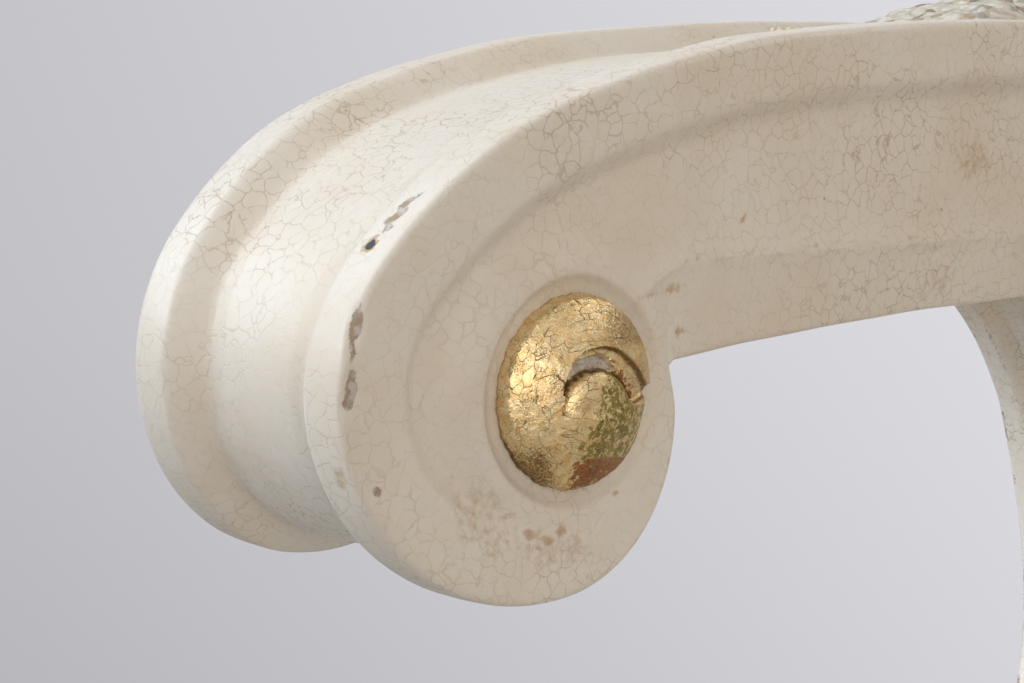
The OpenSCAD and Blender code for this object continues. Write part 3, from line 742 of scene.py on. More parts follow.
def post_face(z):
    """Front of the leaning post at a height above the boss, as a distance behind the boss."""
    return POST_SETBACK - BOSS_SETBACK + (BOSS_HIGH + z - LEAN_FROM) * math.tan(BACK_LEAN)


def arm_half(y):
    """Half the arm's width at a distance behind the boss."""
    post = (y - (post_face(0) - POST_BLEND)) / POST_BLEND
    tip = TIP_NARROWING * np.maximum(0, NARROW_FROM - y) ** 2
    return HALF_ARM - tip - (HALF_ARM - HALF_POST) * smooth_turn(post)


def scroll_curve(step=0.1):
    """Points and outward normals along the arm's outline, from the first arc round to the notch."""
    points, normals = [], []
    centre = np.array([SCROLL_START, SCROLL_RISE - SCROLL_RADII[0]])
    angle = math.radians(90)
    for i, (radius, turn) in enumerate(zip(SCROLL_RADII, SCROLL_TURNS)):
        if i:
            centre = centre + (SCROLL_RADII[i - 1] - radius) * np.array([math.cos(angle), math.sin(angle)])
        turn = math.radians(turn)
        a = angle + np.linspace(0, turn, max(3, int(radius * turn / step)))
        rim = np.stack([np.cos(a), np.sin(a)], -1)
        points.append(centre + radius * rim)
        normals.append(rim)
        angle += turn
    return np.concatenate(points), np.concatenate(normals)


def along_curve(points, normals, gap):
    """The same curve at even gaps."""
    run = np.r_[0, np.cumsum(np.hypot(*np.diff(points, axis=0).T))]
    at = np.linspace(0, run[-1], max(2, int(round(run[-1] / gap)) + 1))
    pick = [np.interp(at, run, column) for column in (*points.T, *normals.T)]
    return np.stack(pick[:2], -1), np.stack(pick[2:], -1)


def underside_z(y):
    return UNDER_RISE - NOTCH_DROP * (np.clip(UNDER_LEVEL - y, 0, None) / (UNDER_LEVEL - NOTCH_Y)) ** 2


class ArmOutline:
    """Stations round an arm: the top from post to scroll, the scroll's front, then the underside."""

    def __init__(self):
        curve, normal = scroll_curve()
        self.curve = curve
        top_end = post_face(SCROLL_RISE)
        back = np.concatenate([np.arange(NOTCH_Y, CLOSE_STATIONS_TO, 1.5),
                               np.linspace(CLOSE_STATIONS_TO, top_end, 70)])
        split = int(np.argmin(np.where(curve[:, 1] > 30, np.abs(curve[:, 0] - NOTCH_Y), 1e9)))
        upper, upper_normal = curve[:split + 1][::-1], normal[:split + 1][::-1]
        z = np.where(back > SCROLL_START, SCROLL_RISE, np.interp(back, upper[:, 0], upper[:, 1]))
        ny = np.where(back > SCROLL_START, 0, np.interp(back, upper[:, 0], upper_normal[:, 0]))
        self.top = np.stack([back, z], -1)[::-1]
        self.top_normal = np.stack([ny, np.sqrt(1 - ny ** 2)], -1)[::-1]
        self.front, self.front_normal = along_curve(curve[split:], normal[split:], 1.0)
        self.front[0] = self.top[-1]
        self.front_normal[0] = self.top_normal[-1]
        under_end = post_face(UNDER_RISE)
        y = NOTCH_Y + (back - NOTCH_Y) * (under_end - NOTCH_Y) / (top_end - NOTCH_Y)
        slope = 2 * NOTCH_DROP * np.clip(UNDER_LEVEL - y, 0, None) / (UNDER_LEVEL - NOTCH_Y) ** 2
        self.under = np.stack([y, underside_z(y)], -1)
        self.under_normal = np.stack([slope, -np.ones_like(slope)], -1)
        self.under_normal /= np.linalg.norm(self.under_normal, axis=1)[:, None]
        line_back = np.stack([np.arange(top_end + 20, SCROLL_START, -1.0),
                              np.full(int(math.ceil(top_end + 20 - SCROLL_START)), SCROLL_RISE)], -1)
        self.rim_line = np.concatenate([line_back, curve[::8]])

    def distance(self, points):
        """Distance in from the arm's top and scroll edge."""
        nearest = np.empty(len(points))
        for i in range(0, len(points), 4000):
            part = points[i:i + 4000, None, :] - self.rim_line[None]
            nearest[i:i + 4000] = np.sqrt((part ** 2).sum(-1).min(1))
        return nearest


def face_relief(outline, points, channel):
    """Depth of an arm's side face below its plane, and how grimy the hollow is, at (back, up) points."""
    y, z = points.T
    edge = outline.distance(points)
    r = np.hypot(y, z)
    turn = np.degrees(np.arctan2(z, y)) % 360
    # The hollow deepens from a ridge upwards along the arm and fades away round the scroll
    hollow = smooth((edge - FACE_EDGE) / 5.2)
    ridge = RIDGE - RIDGE_SAG * np.clip((30 - y) / 16, 0, 1.3) ** 2
    rise = np.clip((z - ridge) / (np.maximum(HOLLOW_TOP, ridge + 12) - ridge), 0, 1)
    eye = smooth((r - 20) / 7.5)
    fade = smooth((300 - turn) / 95) * (turn > 45) + (turn <= 45)
    on_arm = smooth((112 - turn) / 60) * (turn < 200) + (turn > 330)
    shape = rise ** 0.68 * on_arm + eye * fade * (1 - on_arm)
    depth = channel * hollow * shape
    # The band below the ridge falls back a little, and the ridge itself stands proud
    band = smooth((y - 8) / 14) * smooth((z + 6) / 9) * (np.abs(z) < 40)
    depth += 1.5 * np.clip((ridge - z) / 13, 0, 1) * band * smooth((r - 19.5) / 5)
    crease = np.exp(-((z - ridge) / 1.1) ** 2) * smooth((y - 10) / 8)
    depth -= 0.42 * crease
    # A round recess holds the boss
    recess = smooth((RECESS_R - r) / 2.3)
    depth += RECESS_DEPTH * recess
    ring = np.exp(-((r - 19.3) / 0.8) ** 2)
    grime = 0.4 * hollow * shape + 0.8 * recess + 0.5 * ring + 0.25 * crease
    return depth, grime


def rim_profile(carving):
    """Distances in from a side face, and depths below the rim's crest, across half the arm."""
    bend = np.radians([0, 20, 42, 66, 90])
    corner = carving.edge_round / MM
    rounded = corner * (1 - np.cos(bend))
    slope = carving.rim_flat / MM
    wide = carving.cove_width / MM
    d = np.concatenate([rounded, np.linspace(2.6, slope, 7)[:-1], slope + wide * np.linspace(0, 1, 13),
                        slope + wide + np.array([1.0, 2.4])])
    drop = carving.cove_depth / MM * smooth((d - slope) / wide) ** 0.92
    drop += 0.35 * (1 - np.clip(d / 6, 0, 1)) ** 2
    drop -= 0.32 * smooth((d - slope - wide) / 3) * (carving.cove_depth / MM > 2)
    round_off = np.zeros_like(d)
    round_off[:len(bend)] = corner * (1 - np.sin(bend))
    return d, drop, round_off


def arm_points(outline, carving):
    """The ribbon round the arm's edge; arm_mesh closes it with two side faces and an end against the post."""
    d, drop, round_off = rim_profile(carving)
    inner_count = 9
    stations = np.concatenate([outline.top, outline.front[1:], outline.under])
    normals = np.concatenate([outline.top_normal, outline.front_normal[1:], outline.under_normal])
    tops, fronts = len(outline.top), len(outline.front) - 1
    count = len(stations)
    sunk = np.ones(count)
    sunk[tops + fronts:] = 0
    sunk[tops + fronts - 12:tops + fronts] = smooth(np.linspace(1, 0, 12))
    half = arm_half(stations[:, 0])
    share = np.linspace(1, 0, inner_count + 1)[1:]
    reach = d[-1]
    x_half = np.concatenate([half[:, None] - d[None], (half[:, None] - reach) * share[None]], 1)
    depth = sunk[:, None] * np.r_[drop, np.full(inner_count, drop[-1])][None]
    depth = depth + np.r_[round_off, np.zeros(inner_count)][None]
    grime_half = np.r_[drop / drop.max() * np.exp(-((d - d[-3]) / 4.5) ** 2), np.full(inner_count, 0.12)]
    edge_points = stations - normals * depth[:, :1]
    edge_depth, _ = face_relief(outline, edge_points, carving.channel_depth / MM)
    taper = np.clip(1 - np.r_[d, np.full(inner_count, 99)] / 6, 0, 1)[None]
    x_half = x_half - edge_depth[:, None] * taper
    x = np.concatenate([x_half, -x_half[:, -2::-1]], 1)
    depth = np.concatenate([depth, depth[:, -2::-1]], 1)
    grime = np.tile(np.r_[grime_half, grime_half[-2::-1]], (count, 1)) * sunk[:, None]
    flat = stations[:, None, :] - normals[:, None, :] * depth[..., None]
    ribbon = np.concatenate([x[..., None], flat], -1)
    return ribbon, grime, (tops, fronts)


def side_faces(outline, ribbon, counts, carving, side):
    """One side face: columns along the arm, then rings round the boss's recess."""
    tops, fronts = counts
    edge = ribbon[:, 0 if side > 0 else -1]
    top = edge[:tops][::-1]
    under = edge[tops + fronts:]
    share = np.linspace(0, 1, FACE_ROWS)[:, None, None]
    columns = under[None] + (top - under)[None] * share

    def settle(points):
        """The points carved to the face's relief, and their grime."""
        flat = points.reshape(-1, 3).copy()
        depth, grime = face_relief(outline, flat[:, 1:], carving.channel_depth / MM)
        flat[:, 0] = side * (arm_half(flat[:, 1]) - depth)
        return flat.reshape(points.shape), grime.reshape(points.shape[:-1])

    # The outer edges stay on the ribbon, so that the faces join it
    carved, column_grime = settle(columns)
    columns = np.concatenate([columns[:1], carved[1:-1], columns[-1:]])
    loop = np.concatenate([edge[tops - 1:tops + fronts], columns[:, 0][:-1]])
    turn = np.arctan2(loop[:, 2], loop[:, 1])
    around = np.stack([np.zeros_like(turn), np.cos(turn), np.sin(turn)], -1)
    t = np.linspace(0, 1, FACE_RINGS)[1:, None, None]
    rings = loop[None] + (around * EYE_R - loop)[None] * t
    rings = np.concatenate([loop[None], rings, around[None] * np.array(EYE_RINGS)[:, None, None]])
    carved, ring_grime = settle(rings)
    rings = np.concatenate([loop[None], carved[1:]])
    middle, middle_grime = settle(np.zeros((1, 3)))
    return columns, column_grime, rings, ring_grime, middle, middle_grime


def arm_mesh(name, carving):
    """A whole arm's mesh, in millimetres from the middle of its boss's axis."""
    outline = ArmOutline()
    ribbon, grime, counts = arm_points(outline, carving)
    points, values, faces = [], [], []

    def add_grid(grid, grime, closed=False):
        faces.extend(grid_quads(*grid.shape[:2], start=sum(map(len, points)), closed_cols=closed))
        points.append(grid.reshape(-1, 3))
        values.append(grime.ravel())

    add_grid(ribbon, grime)
    last_columns = {}
    for side in (1, -1):
        columns, column_grime, rings, ring_grime, middle, middle_grime = side_faces(
            outline, ribbon, counts, carving, side)
        last_columns[side] = columns[:, -1]
        add_grid(columns, column_grime)
        add_grid(rings, ring_grime, closed=True)
        around = rings.shape[1]
        hub = sum(map(len, points))
        faces += [[hub - around + i, hub - around + (i + 1) % around, hub] for i in range(around)]
        points.append(middle)
        values.append(middle_grime)
    # The end against the post
    upper, lower = ribbon[0], ribbon[-1]
    share = np.linspace(0, 1, len(last_columns[1]))[:, None, None]
    end = lower[None] + (upper - lower)[None] * share
    lean = np.linspace(1, 0, len(upper))[None, :, None]
    end += ((last_columns[1][:, None] - end[:, :1]) * lean
            + (last_columns[-1][:, None] - end[:, -1:]) * (1 - lean))
    add_grid(end, np.zeros(end.shape[:2]))
    return solid_mesh(name, np.concatenate(points), faces, {"hollow": np.concatenate(values)})


# Marks on the inner side of the right arm and round its scroll: place (back, up, in from the
# inner side), half length, half width, depth, chip, stain; above 1.4 the last is painted near-black shade in
# a hole
INNER_MARKS = (
    ((-42.7, 13.8, 0.7), 4.2, 1.15, 0.40, 1.0, 0.0),
    ((-43.9, 3.8, 0.3), 3.4, 1.05, 0.40, 1.0, 0.0),
    ((-43.4, 8.8, 0.4), 1.6, 0.60, 0.20, 0.8, 0.0),
    ((-31.8, 29.8, 5.8), 4.2, 1.5, 0.10, 0.75, 0.30),
    ((-27.5, 33.4, 4.9), 2.0, 0.55, 0.10, 0.65, 0.30),
    # A small hole, pressed in, whose shade is painted near-black.
    ((-36.1, 25.4, 6.2), 1.35, 0.60, 0.60, 0.0, 6.0),
    ((-39.2, -12.1, 0.4), 1.4, 0.90, 0.25, 0.9, 0.0),
    ((-43.1, -10.5, 3.7), 2.6, 1.70, 0.05, 0.2, 0.50),
    ((-41.8, 19.0, 1.6), 1.8, 0.50, 0.15, 0.7, 0.0),
    ((40.9, 27.1, 0.8), 1.1, 0.95, 0.05, 0.0, 0.90),
    ((22.4, 15.8, 0.6), 2.9, 1.00, 0.05, 0.0, 0.62),
    ((16.9, 15.0, 0.2), 3.6, 0.60, 0.05, 0.0, 0.50),
    ((25.5, 8.0, 1.4), 1.3, 1.30, 0.05, 0.0, 0.75),
    ((-14.5, -22.8, 0.1), 0.9, 0.70, 0.05, 0.0, 0.70),
    ((-13.9, -19.1, 1.0), 0.8, 0.60, 0.05, 0.0, 0.60),
    ((9.2, -17.8, 0.1), 1.1, 0.70, 0.05, 0.0, 0.65),
    ((-9.7, -22.5, 0.4), 1.7, 1.10, 0.05, 0.0, 0.70),
    ((-6.0, -23.7, 0.2), 1.9, 1.20, 0.05, 0.0, 0.75),
    ((-2.7, -22.9, 0.2), 1.7, 1.00, 0.05, 0.0, 0.70),
    ((-7.6, -25.0, 0.1), 1.8, 0.80, 0.05, 0.0, 0.60),
    ((-19.0, -19.0, 1.0), 9.0, 6.0, 0.0, 0.0, 0.34),
    ((-4.0, -25.5, 0.3), 11.0, 4.0, 0.0, 0.0, 0.34),
    ((111.7, 35.7, 1.8), 7.0, 4.5, 0.0, 0.0, 0.42),
    ((99.0, 12.8, 0.5), 8.0, 5.0, 0.0, 0.0, 0.34),
)


def scattered_marks(seed, count, inner_side):
    """Chips along an arm's edges and stains on its faces, away from the listed marks."""
    rng = np.random.default_rng(seed)
    curve, normal = scroll_curve(2.0)
    marks = []
    for _ in range(count):
        i = rng.integers(0, len(curve))
        side = inner_side if rng.random() < 0.5 else -inner_side
        size = rng.uniform(1.0, 3.4)
        place = (side * float(arm_half(curve[i, 0])), *(curve[i] - normal[i] * rng.uniform(0.3, 1.2)))
        marks.append((place, size * rng.uniform(0.9, 1.9), size * 0.6, 0.12 + 0.12 * size, 0.95, 0.0))
    for _ in range(count):
        y = rng.uniform(-20, 400)
        place = (rng.choice([-1, 1]) * float(arm_half(y)), y, rng.uniform(12, 50))
        size = rng.uniform(0.8, 2.4)
        marks.append((place, size, size * 0.8, 0.03, 0.0, rng.uniform(0.5, 0.9)))
    for _ in range(count // 2):
        y = rng.uniform(60, 440)
        place = (rng.choice([-1, 1]) * (float(arm_half(y)) - rng.uniform(0, 3)), y, UNDER_RISE)
        marks.append((place, rng.uniform(2, 6), 1.6, 0.4, 0.95, 0.0))
    return marks


def wear_arm(mesh, marks, seed, waviness):
    """Presses chips into an arm's mesh and stores its chips and stains; a mark's last value above 1.4 stores
    painted shade for a hole.
    """
    points, normals = vertex_array(mesh) / MM, normal_array(mesh)
    points = points + normals * ((wobble(points, 22, seed) - 1) * waviness)[:, None]
    chips, stains, sink = (np.zeros(len(points)) for _ in range(3))
    rough = wobble(points, 2.2, seed + 1)
    for place, along, across, depth, chip, stain_and_hole_shade in marks:
        offset = points - np.array(place)
        near = (offset ** 2).sum(1) < (2.2 * max(along, across)) ** 2
        if not near.any():
            continue
        heading = np.array([0, -place[2], place[1]]) if place[1] < 0 else np.array([0, 1.0, 0.12])
        heading = heading / np.linalg.norm(heading)
        run = offset[near] @ heading
        away = np.sqrt(np.maximum((offset[near] ** 2).sum(1) - run ** 2, 0))
        mark = 1 - np.sqrt((run / along) ** 2 + (away / across) ** 2) + 0.28 * rough[near]
        mark = np.clip(mark * 1.6 + 0.25, 0, 1)
        sink[near] = np.maximum(sink[near], depth * smooth(mark * 1.4))
        chips[near] = np.maximum(chips[near], chip * mark)
        stains[near] = np.maximum(stains[near], stain_and_hole_shade * mark)
    set_vertices(mesh, (points - normals * sink[:, None]) * MM)
    set_values(mesh, "wear", chips)
    set_values(mesh, "stain_and_hole_shade", stains)


def place_from_boss(mesh, side):
    """Moves a mesh drawn from an arm's boss axis to its side of the chair."""
    mesh.transform(Matrix.Translation((SIDES[side] * ARM_MID, BOSS_Y, BOSS_Z)))
    mesh.update()


def build_arms(carving):
    for number, side in enumerate(SIDES):
        inner = -SIDES[side]
        mesh = arm_mesh(f"{side}_arm_carved", carving)
        if side == "right":
            marks = [((float(arm_half(y)) - inset, y, z), *rest) for (y, z, inset), *rest in INNER_MARKS]
            marks += [m for m in scattered_marks(carving.seed, 12, inner) if m[0][0] < 0 or m[0][1] > 130]
            marks += [((float(arm_half(y)) - 0.3, y, RIDGE + math.sin(y * 0.37)), 5.0, 0.5, 0.03, 0.0, 0.45)
                      for y in range(18, 112, 8)]
        else:
            marks = scattered_marks(carving.seed + 1, 14, inner)
        wear_arm(mesh, marks, carving.seed + 10 * number, carving.waviness / MM)
        place_from_boss(mesh, side)
        finish_mesh(mesh, paint_material(), [f"{side}_arm"])


# ---- Bosses ----

BOSS_R = 16.25
INNER_LOBE = ((5.5, -4.3), 7.84)
HOOK_INSIDE = 11.7
BOSS_EDGE = 1.8
BOSS_DOME = 5.5
BOSS_SINK = 1.5


def boss_dome(u, v):
    """Height of the plain dome above the recess's floor at (u, v)."""
    return BOSS_EDGE + BOSS_DOME * (1 - np.clip(np.hypot(u, v) / BOSS_R, 0, 1) ** 2.3)


def lean_back(u, v):
    """The curl's lines at (u, v): they sit further back where the dome stands higher."""
    proud = boss_dome(u, v) - BOSS_SINK
    return u + 0.95 * proud, v - 0.12 * proud


def boss_surface(u, v):
    """Height of the carved curl above the recess's floor at (u, v), with its wear and painted-shade masks: a
    hooked outer lobe whose inside slopes down as a facet, a crescent groove below it and a lower inner lobe."""
    p, q = lean_back(u, v)
    (lobe_u, lobe_v), lobe_size = INNER_LOBE
    reach = np.hypot(p - lobe_u, q - lobe_v)
    turn = np.degrees(np.arctan2(q - lobe_v, p - lobe_u))
    turn = np.where(turn < -90, turn + 360, turn)
    rough = 0.20 * np.sin(u * 2.9 + 1.3 * v) * np.sin(v * 3.7 - u)
    wide = smooth((turn - 45) / 40) * smooth((170 - turn) / 40)
    hook = smooth((turn - 10) / 8) * smooth((176 - turn) / 12)
    groove_r = lobe_size + 2.5 * wide + rough * 0.5
    facet_r = np.maximum(HOOK_INSIDE - 3.0 * smooth((turn - 112) / 46), groove_r + 0.3)
    groove = smooth((groove_r - reach) / 0.5) * smooth((reach - lobe_size + 0.25 + rough) / 0.7) * wide ** 0.3
    facet = np.clip((facet_r - reach) / (facet_r - groove_r), 0, 1) * hook
    lobe = smooth((lobe_size + 0.35 - reach) / 0.7)
    crease = np.exp(-((reach - lobe_size) / 0.35) ** 2) * hook
    beyond = facet * (1 - lobe)
    rounded = np.clip((reach - lobe_size + 3.4) / 3.4, 0, 1) ** 2 * lobe * hook
    height = boss_dome(u, v) - 1.25 * smooth(beyond * 2.0) - 0.35 * beyond - 1.3 * groove - 0.5 * crease
    height = height - lobe * hook * 0.35 - 0.9 * rounded
    slope = beyond * smooth((facet_r - groove_r - 0.7) / 0.8) * (1 - groove)
    brow = np.exp(-((beyond - 0.22) / 0.17) ** 2) * smooth((facet_r - groove_r - 0.5) / 0.8)
    # Painted shade: dark marks the deep left end of the groove, the crease round the inner lobe and the brow
    # line under the hook; the rubbed mask turns it dull brown.
    dark = np.clip(groove * smooth((turn - 122) / 18) + 0.8 * crease + 0.75 * brow, 0, 1)
    lobe = np.maximum(lobe, smooth((12 - turn) / 6))
    return np.maximum(height, 0.9), groove * smooth((140 - turn) / 18), slope, lobe, dark


def boss_rim(turn):
    """Outline of the boss: a disc, nipped in where the inner lobe meets the hook's broken tip."""
    turn = np.degrees(turn)
    turn = (turn + 180) % 360 - 180
    (cu, cv), lobe = INNER_LOBE
    ray_u, ray_v = np.cos(np.radians(turn)), np.sin(np.radians(turn))
    to_lobe = ray_u * cu + ray_v * cv
    lobe_reach = to_lobe + np.sqrt(np.maximum(lobe ** 2 - (cu ** 2 + cv ** 2 - to_lobe ** 2), 0))
    nip = smooth((1.5 - turn) / 1.5) * smooth((turn + 52) / 32)
    chipped = 0.10 * np.sin(turn * 0.31) + 0.08 * np.sin(turn * 0.83 + 1) + 0.05 * np.sin(turn * 2.3)
    return BOSS_R - 0.12 + chipped - nip * np.clip(BOSS_R - lobe_reach, 0, 2.2)


def boss_mesh(name):
    """The boss as a closed button, seen with u to the right and v up, its face towards +w."""
    spokes, rings = 280, 66
    turn = np.arange(spokes) * 2 * math.pi / spokes
    rim = boss_rim(turn)
    share = np.sin(np.linspace(0, 1, rings + 1)[1:] * math.pi / 2) ** 0.9
    u = share[:, None] * rim * np.cos(turn)
    v = share[:, None] * rim * np.sin(turn)
    height = boss_surface(u, v)[0]
    edge_fall = np.clip((share[:, None] - 0.955) / 0.045, 0, 1) ** 2
    height = height - edge_fall * np.clip(height - 0.9, 0, 1.3)
    flat = np.stack([u.ravel(), v.ravel(), 0 * u.ravel()], -1)
    crumple = 0.08 * wobble(flat, 4.5, 3) + 0.03 * np.abs(wobble(flat, 1.7, 4))
    height += crumple.reshape(u.shape) * (1 - 0.5 * edge_fall)
    top = np.stack([u, v, height], -1)
    floor_ring = np.stack([rim * np.cos(turn), rim * np.sin(turn), np.zeros(spokes)], -1)[None]
    shell = np.concatenate([top, floor_ring])
    middle = np.array([[0, 0, boss_surface(np.zeros(1), np.zeros(1))[0][0]], [0, 0, 0]])
    hub = len(shell) * spokes
    faces = grid_quads(rings + 1, spokes, closed_cols=True)
    faces += [[i, (i + 1) % spokes, hub] for i in range(spokes)]
    faces += [[rings * spokes + (i + 1) % spokes, rings * spokes + i, hub + 1] for i in range(spokes)]
    points = np.concatenate([shell.reshape(-1, 3), middle])
    mesh = solid_mesh(name, points, faces)
    shade_smooth(mesh, 50)
    place = vertex_array(mesh) / MM
    u, v = place[:, 0], place[:, 1]
    _, groove, facet, lobe, dark = boss_surface(u, v)
    p, q = lean_back(u, v)
    below = smooth((1.2 - place[:, 2]) / 0.8)
    right_side = smooth((p - 1.6 - 0.35 * (q + 4)) / 6.5)
    olive = lobe * right_side + 0.5 * smooth((-4 - q) / 5) * smooth((p + 4) / 8)
    set_values(mesh, "bare", groove)
    set_values(mesh, "olive", np.clip(olive * smooth((q + 14.0) / 3.5), 0, 1))
    low_right = smooth((p + 3.5) / 4.5) * smooth((-9.4 - q - 0.02 * (p - 4) ** 2) / 3.6)
    set_values(mesh, "clay", np.clip(low_right + 0.55 * facet * smooth((p - 6) / 5), 0, 1))
    # The rubbed mask is partly wear and partly painted shade: rubbed leaf on the brow and the facet, painted
    # shade at the lower left and along dark, and darker leaf round the foot where the boss meets its recess.
    brow = smooth((p - 2) / 6) * smooth((q - 5.0) / 3) * smooth((15.5 - q) / 4)
    low_left_shade = smooth((1 - p) / 9) * smooth((-3 - q) / 8)
    rubbed = 0.40 * brow + 0.58 * low_left_shade + 0.5 * below + 0.10 * facet + dark
    set_values(mesh, "rubbed", np.clip(rubbed, 0, 2))
    face = mesh.attributes.new("face", "FLOAT_VECTOR", "POINT")
    face.data.foreach_set("vector", place.astype(np.float32).ravel())
    return mesh


def build_bosses():
    material = gilding_material()
    tilt = math.atan(2 * TIP_NARROWING * NARROW_FROM)
    for side, outward in SIDES.items():
        for face, facing in (("inner", -outward), ("outer", outward)):
            name = f"{side}_{face}_boss_carved"
            mesh = boss_mesh(name)
            # u runs back along the arm, v up and w out of the face, which leans in to the scroll's tip
            normal = Vector((facing * math.cos(tilt), -math.sin(tilt), 0))
            back = Vector((facing * math.sin(tilt), math.cos(tilt), 0))
            centre = Vector((facing * float(arm_half(0)), 0, 0)) * MM - normal * BOSS_SINK * MM
            turn = Matrix((back, Vector((0, 0, 1)), normal)).transposed().to_4x4()
            mesh.transform(Matrix.Translation(centre) @ turn)
            if turn.determinant() < 0:
                mesh.flip_normals()
            place_from_boss(mesh, side)
            finish_mesh(mesh, material, [f"{side}_{face}_boss"])


# ---- Painted wood ----

SUPPORT_R = 80
SUPPORT_DEEP = 46
SUPPORT_CENTRE = np.array([149.5, -67.0])
SUPPORT_TURN = math.radians(55)
SUPPORT_FOOT = -229
FOOT_IN, FOOT_OUT = -9, 23
TAPER_LOW, TAPER_HIGH = -130, -35
FRONT_ONLY = 5
RABBET = 14


def support_line(sink, steps=(88, 44, 10)):
    """The support's front line in side view, sunk by a depth into the wood."""
    top = math.asin((UNDER_RISE + 1.3 - SUPPORT_CENTRE[1]) / (SUPPORT_R + sink))
    a = np.linspace(top, -SUPPORT_TURN, steps[0])
    first = SUPPORT_CENTRE + (SUPPORT_R + sink) * np.stack([np.cos(a), np.sin(a)], -1)
    spread = SUPPORT_R + 2 * SUPPORT_DEEP
    counter = SUPPORT_CENTRE + spread * np.array([math.cos(SUPPORT_TURN), -math.sin(SUPPORT_TURN)])
    b = np.linspace(math.pi - SUPPORT_TURN, math.pi, steps[1])[1:]
    second = counter + (2 * SUPPORT_DEEP - sink) * np.stack([np.cos(b), np.sin(b)], -1)
    z = np.linspace(second[-1, 1], SUPPORT_FOOT, steps[2])[1:]
    last = np.stack([np.full_like(z, second[-1, 0]), z], -1)
    return np.concatenate([first, second, last])


def support_mesh(name, side, carving):
    """An arm support: two rims and a sunken flat in front, hollowed sides and a rounded back."""
    scale = 0.7
    d, drop, round_off = rim_profile(carving)
    d, drop = d * scale, drop * scale
    front = list(zip(drop + round_off * scale, d))
    flank = np.linspace(4, SUPPORT_DEEP - 4, 22)
    dip = 1.9 * smooth((flank - 9) / 4) * smooth((SUPPORT_DEEP - 9 - flank) / 4)
    round_back = [(SUPPORT_DEEP - 1.6, 0.1), (SUPPORT_DEEP - 0.6, 0.6), (SUPPORT_DEEP, 2.0)]
    flank = [*zip(flank, dip), *round_back]
    # Each row is a point of the section: depth behind the front line, share of the half width, inset
    rows = [(sink, -1, inset) for sink, inset in front]
    rows += [(drop[-1], share, d[-1]) for share in np.linspace(-0.8, 0.8, 7)]
    rows += [(sink, 1, inset) for sink, inset in front[::-1] + flank]
    rows += [(SUPPORT_DEEP, share, 2.0) for share in np.linspace(0.7, -0.7, 6)]
    rows += [(sink, -1, inset) for sink, inset in flank[::-1]]
    sinks, shares, insets = np.array(rows).T
    line = np.stack([support_line(sink) for sink in sinks], 1)
    z = line[..., 1]
    taper = smooth_turn((z - TAPER_LOW) / (TAPER_HIGH - TAPER_LOW))
    low = FOOT_IN + (-HALF_ARM - FOOT_IN) * taper
    high = FOOT_OUT + (HALF_ARM - FOOT_OUT) * taper
    middle, half = (low + high) / 2, (high - low) / 2
    x = middle + shares[None] * (half - insets[None])
    hollow = np.clip(sinks / drop.max(), 0, 1) * (sinks < FRONT_ONLY)
    points = np.stack([x * SIDES[side], line[..., 0], line[..., 1]], -1)
    count, around = points.shape[:2]
    return solid_mesh(name, points.reshape(-1, 3), bar_faces(count, around),
                      {"hollow": np.tile(hollow * 0.7, count)})


def build_supports(carving):
    for number, side in enumerate(SIDES):
        mesh = support_mesh(f"{side}_support_carved", side, carving)
        rng = np.random.default_rng(carving.seed + 20 + number)
        marks = []
        line = support_line(0)
        for _ in range(16):
            y, z = line[rng.integers(5, len(line) - 5)]
            marks.append(((SIDES[side] * rng.choice([-30, 30]), y, z), rng.uniform(1, 4),
                          rng.uniform(1, 3), 0.3, 0.8, 0.0))
        wear_arm(mesh, marks, carving.seed + 30 + number, carving.waviness / MM)
        place_from_boss(mesh, side)
        edge_wear(mesh)
        finish_mesh(mesh, worn_paint(), [f"{side}_arm_support"])


def swept_bar(name, sections):
    """A closed bar: section outlines set one after another, with both ends capped."""
    return solid_mesh(name, np.concatenate(sections), bar_faces(len(sections), len(sections[0])))


def rounded_profile(outline, radius, corner_steps=4):
    """A closed outline with each corner replaced by a small curve."""
    result = []
    count = len(outline)
    for i in range(count):
        before, here, after = (np.array(outline[(i + k) % count], float) for k in (-1, 0, 1))
        to_before, to_after = before - here, after - here
        cut = min(radius, 0.45 * np.linalg.norm(to_before), 0.45 * np.linalg.norm(to_after))
        start = here + to_before / np.linalg.norm(to_before) * cut
        end = here + to_after / np.linalg.norm(to_after) * cut
        for t in np.linspace(0, 1, corner_steps + 1):
            result.append((1 - t) ** 2 * start + 2 * t * (1 - t) * here + t * t * end)
    return np.array(result)


def moulded_profile(inner, low, high):
    """A rail's section as (in, up): a sunken flat between two rims outside, a rabbet inside."""
    outline = [(inner, high - RABBET), (inner - RABBET, high - RABBET), (inner - RABBET, high), (0, high),
               (0, high - 9.5), (2.6, high - 13), (2.6, low + 17), (0.4, low + 12.5), (0, low + 4), (2, low),
               (inner, low)]
    return rounded_profile(outline, 2.0)


def build_rails(carving):
    """Front, side and back seat rails with their moulded outer faces."""
    for node, axis, flip in (("front_rail", 0, 1), ("back_rail", 0, -1),
                             ("right_side_rail", 1, 1), ("left_side_rail", 1, -1)):
        low, high = (np.array(corner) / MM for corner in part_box(node))
        across = 1 - axis
        thick = high[across] - low[across]
        profile = moulded_profile(thick, low[2], high[2])
        start = low[across] if flip > 0 else high[across]
        sections = []
        for s in np.linspace(low[axis], high[axis], 90):
            ring = np.zeros((len(profile), 3))
            ring[:, axis] = s
            ring[:, across] = start + flip * profile[:, 0]
            ring[:, 2] = profile[:, 1]
            sections.append(ring)
        finish_bar(swept_bar(f"{node}_moulded", sections), carving, len(node), node)


